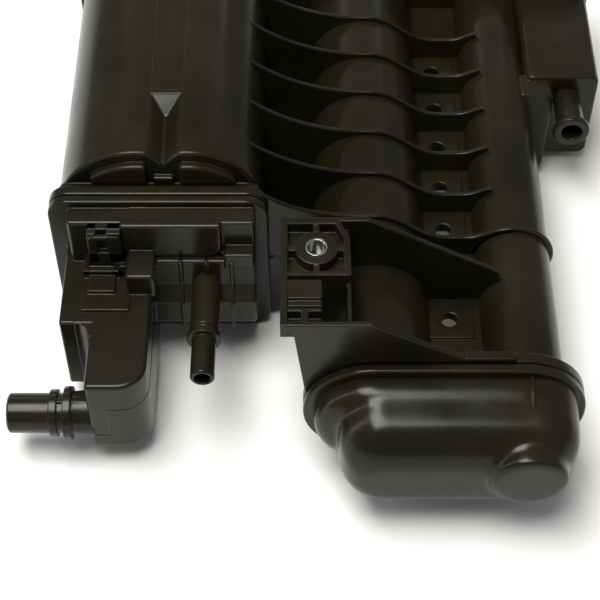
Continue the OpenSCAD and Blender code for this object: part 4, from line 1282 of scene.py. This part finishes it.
class CANISTER_OT_rear_cover(bpy.types.Operator):
    """Models the rear weld flange and the rear cover"""

    bl_idname = "canister.rear_cover"
    bl_label = "Rear cover"

    def execute(self, context):
        flange = Moulding()
        for part in rear_plate(REAR - 5, REAR - JOINT_GAP, 0):
            flange.add(part, flange_rounding(), 3)
        flange.finish("rear_weld_flange", "canister_body", cut=tube_bores())

        cover = Moulding()
        for part in rear_plate(REAR + JOINT_GAP, REAR_FLANGE, 0):
            cover.add(part, flange_rounding(), 3)
        for part in rear_plate(REAR + 1, REAR_END - 4, 4):
            cover.add(part, 1.2, 3)
        for part in rear_plate(REAR + 1, REAR_END, 8):
            cover.add(part, 1.6, 4)
        inside = Moulding()
        for part in rear_plate(REAR - 1, REAR_END - WALL, 8 + WALL):
            inside.add(part, 0)
        cover.finish("rear_cover_shell", "rear_cover", cut=inside.bm)
        return {"FINISHED"}


# ---------- filling ----------


class CANISTER_OT_filling(bpy.types.Operator):
    """Gives the beds, felts, plates, springs and the filter their finishes"""

    bl_idname = "canister.filling"
    bl_label = "Filling"

    def execute(self, context):
        finishes = {
            "felt": needled_felt(),
            "carbon": carbon_pellets(),
            "natural_plastic": natural_plastic(),
            "spring_steel": spring_wire(),
            "foam": open_foam(),
            PLASTIC: plastic(),
        }
        slots = {p["node"]: p["material_slot"] for p in frame["record"]["subparts"]}
        for name, node in frame["nodes"].items():
            material = finishes.get(slots[name])
            if material is None:
                continue
            node.data.materials.clear()
            node.data.materials.append(material)
        return {"FINISHED"}


# ---------- stage ----------


def area_light(name, place, aim, size, power, colour=(1, 1, 1)):
    light = bpy.data.lights.new(name, "AREA")
    light.shape = "RECTANGLE"
    light.size, light.size_y = size
    light.energy = power
    light.color = colour
    obj = bpy.data.objects.new(name, light)
    bpy.context.scene.collection.objects.link(obj)
    obj.location = place
    obj.rotation_euler = (Vector(aim) - Vector(place)).to_track_quat("-Z", "Y").to_euler()


class CANISTER_OT_stage(bpy.types.Operator):
    """Sets up the floor, the lights and the camera"""

    bl_idname = "canister.stage"
    bl_label = "Stage"

    def execute(self, context):
        scene = context.scene
        studio = scene.canister_studio
        bm = bmesh.new()
        bmesh.ops.create_grid(bm, x_segments=1, y_segments=1, size=3000,
                              matrix=Matrix.Translation((0, 0, FLOOR - 0.05)))
        floor = object_from(bm, "studio_floor")
        floor.data.materials.append(studio_floor(studio.floor_colour))

        world = bpy.data.worlds.new("studio")
        scene.world = world
        world.use_nodes = True
        background = world.node_tree.nodes["Background"]
        background.inputs["Color"].default_value = (1, 1, 1, 1)
        background.inputs["Strength"].default_value = 0.22

        power, aim, warm = studio.light_power, (0, 0, -0.05), (1.0, 0.98, 0.93)
        strip_power = power * 0.10
        area_light("overhead", (-0.25, -0.1, 1.2), aim, (0.9, 0.6), power, warm)
        area_light("rear_strip", (0.0, 1.5, 0.75), aim, (1.6, 0.12), strip_power)
        area_light("left_strip", (-1.0, 0.0, 0.45), aim, (0.12, 1.2), strip_power)

        camera = bpy.data.cameras.new("camera")
        camera.lens = studio.camera_lens
        camera.sensor_width = 36
        camera.clip_start = 0.01
        obj = bpy.data.objects.new("camera", camera)
        scene.collection.objects.link(obj)
        obj.location = studio.camera_place
        obj.rotation_euler = (pi / 2 - studio.camera_pitch, 0, 0)
        scene.camera = obj
        scene.view_settings.view_transform = "Standard"
        return {"FINISHED"}


# ---------- panel and registration ----------

STEPS = (
    CANISTER_OT_chamber, CANISTER_OT_tubes, CANISTER_OT_ribs, CANISTER_OT_bracket,
    CANISTER_OT_bushing, CANISTER_OT_port_cover, CANISTER_OT_clips, CANISTER_OT_ports,
    CANISTER_OT_bowl, CANISTER_OT_vent_box, CANISTER_OT_rear_cover, CANISTER_OT_filling,
    CANISTER_OT_stage,
)


class CANISTER_PT_panel(bpy.types.Panel):
    """Lists the canister's settings and steps"""

    bl_idname = "CANISTER_PT_panel"
    bl_label = "Canister"
    bl_space_type = "VIEW_3D"
    bl_region_type = "UI"
    bl_category = "Canister"

    def draw(self, context):
        layout = self.layout
        for group in ("canister_shape", "canister_finish", "canister_studio"):
            settings = getattr(context.scene, group)
            box = layout.box()
            for name in settings.bl_rna.properties.keys():
                if name not in ("rna_type", "name"):
                    box.prop(settings, name)
        for step in STEPS:
            layout.operator(step.bl_idname)


CLASSES = (CanisterShape, CanisterFinish, CanisterStudio) + STEPS + (CANISTER_PT_panel,)


def register():
    for cls in CLASSES:
        bpy.utils.register_class(cls)
    bpy.types.Scene.canister_shape = PointerProperty(type=CanisterShape)
    bpy.types.Scene.canister_finish = PointerProperty(type=CanisterFinish)
    bpy.types.Scene.canister_studio = PointerProperty(type=CanisterStudio)


def unregister():
    del bpy.types.Scene.canister_studio
    del bpy.types.Scene.canister_finish
    del bpy.types.Scene.canister_shape
    for cls in reversed(CLASSES):
        bpy.utils.unregister_class(cls)


def main():
    register()
    for step in STEPS:
        group, name = step.bl_idname.split(".")
        getattr(getattr(bpy.ops, group), name)()


if __name__ == "__main__":
    main()
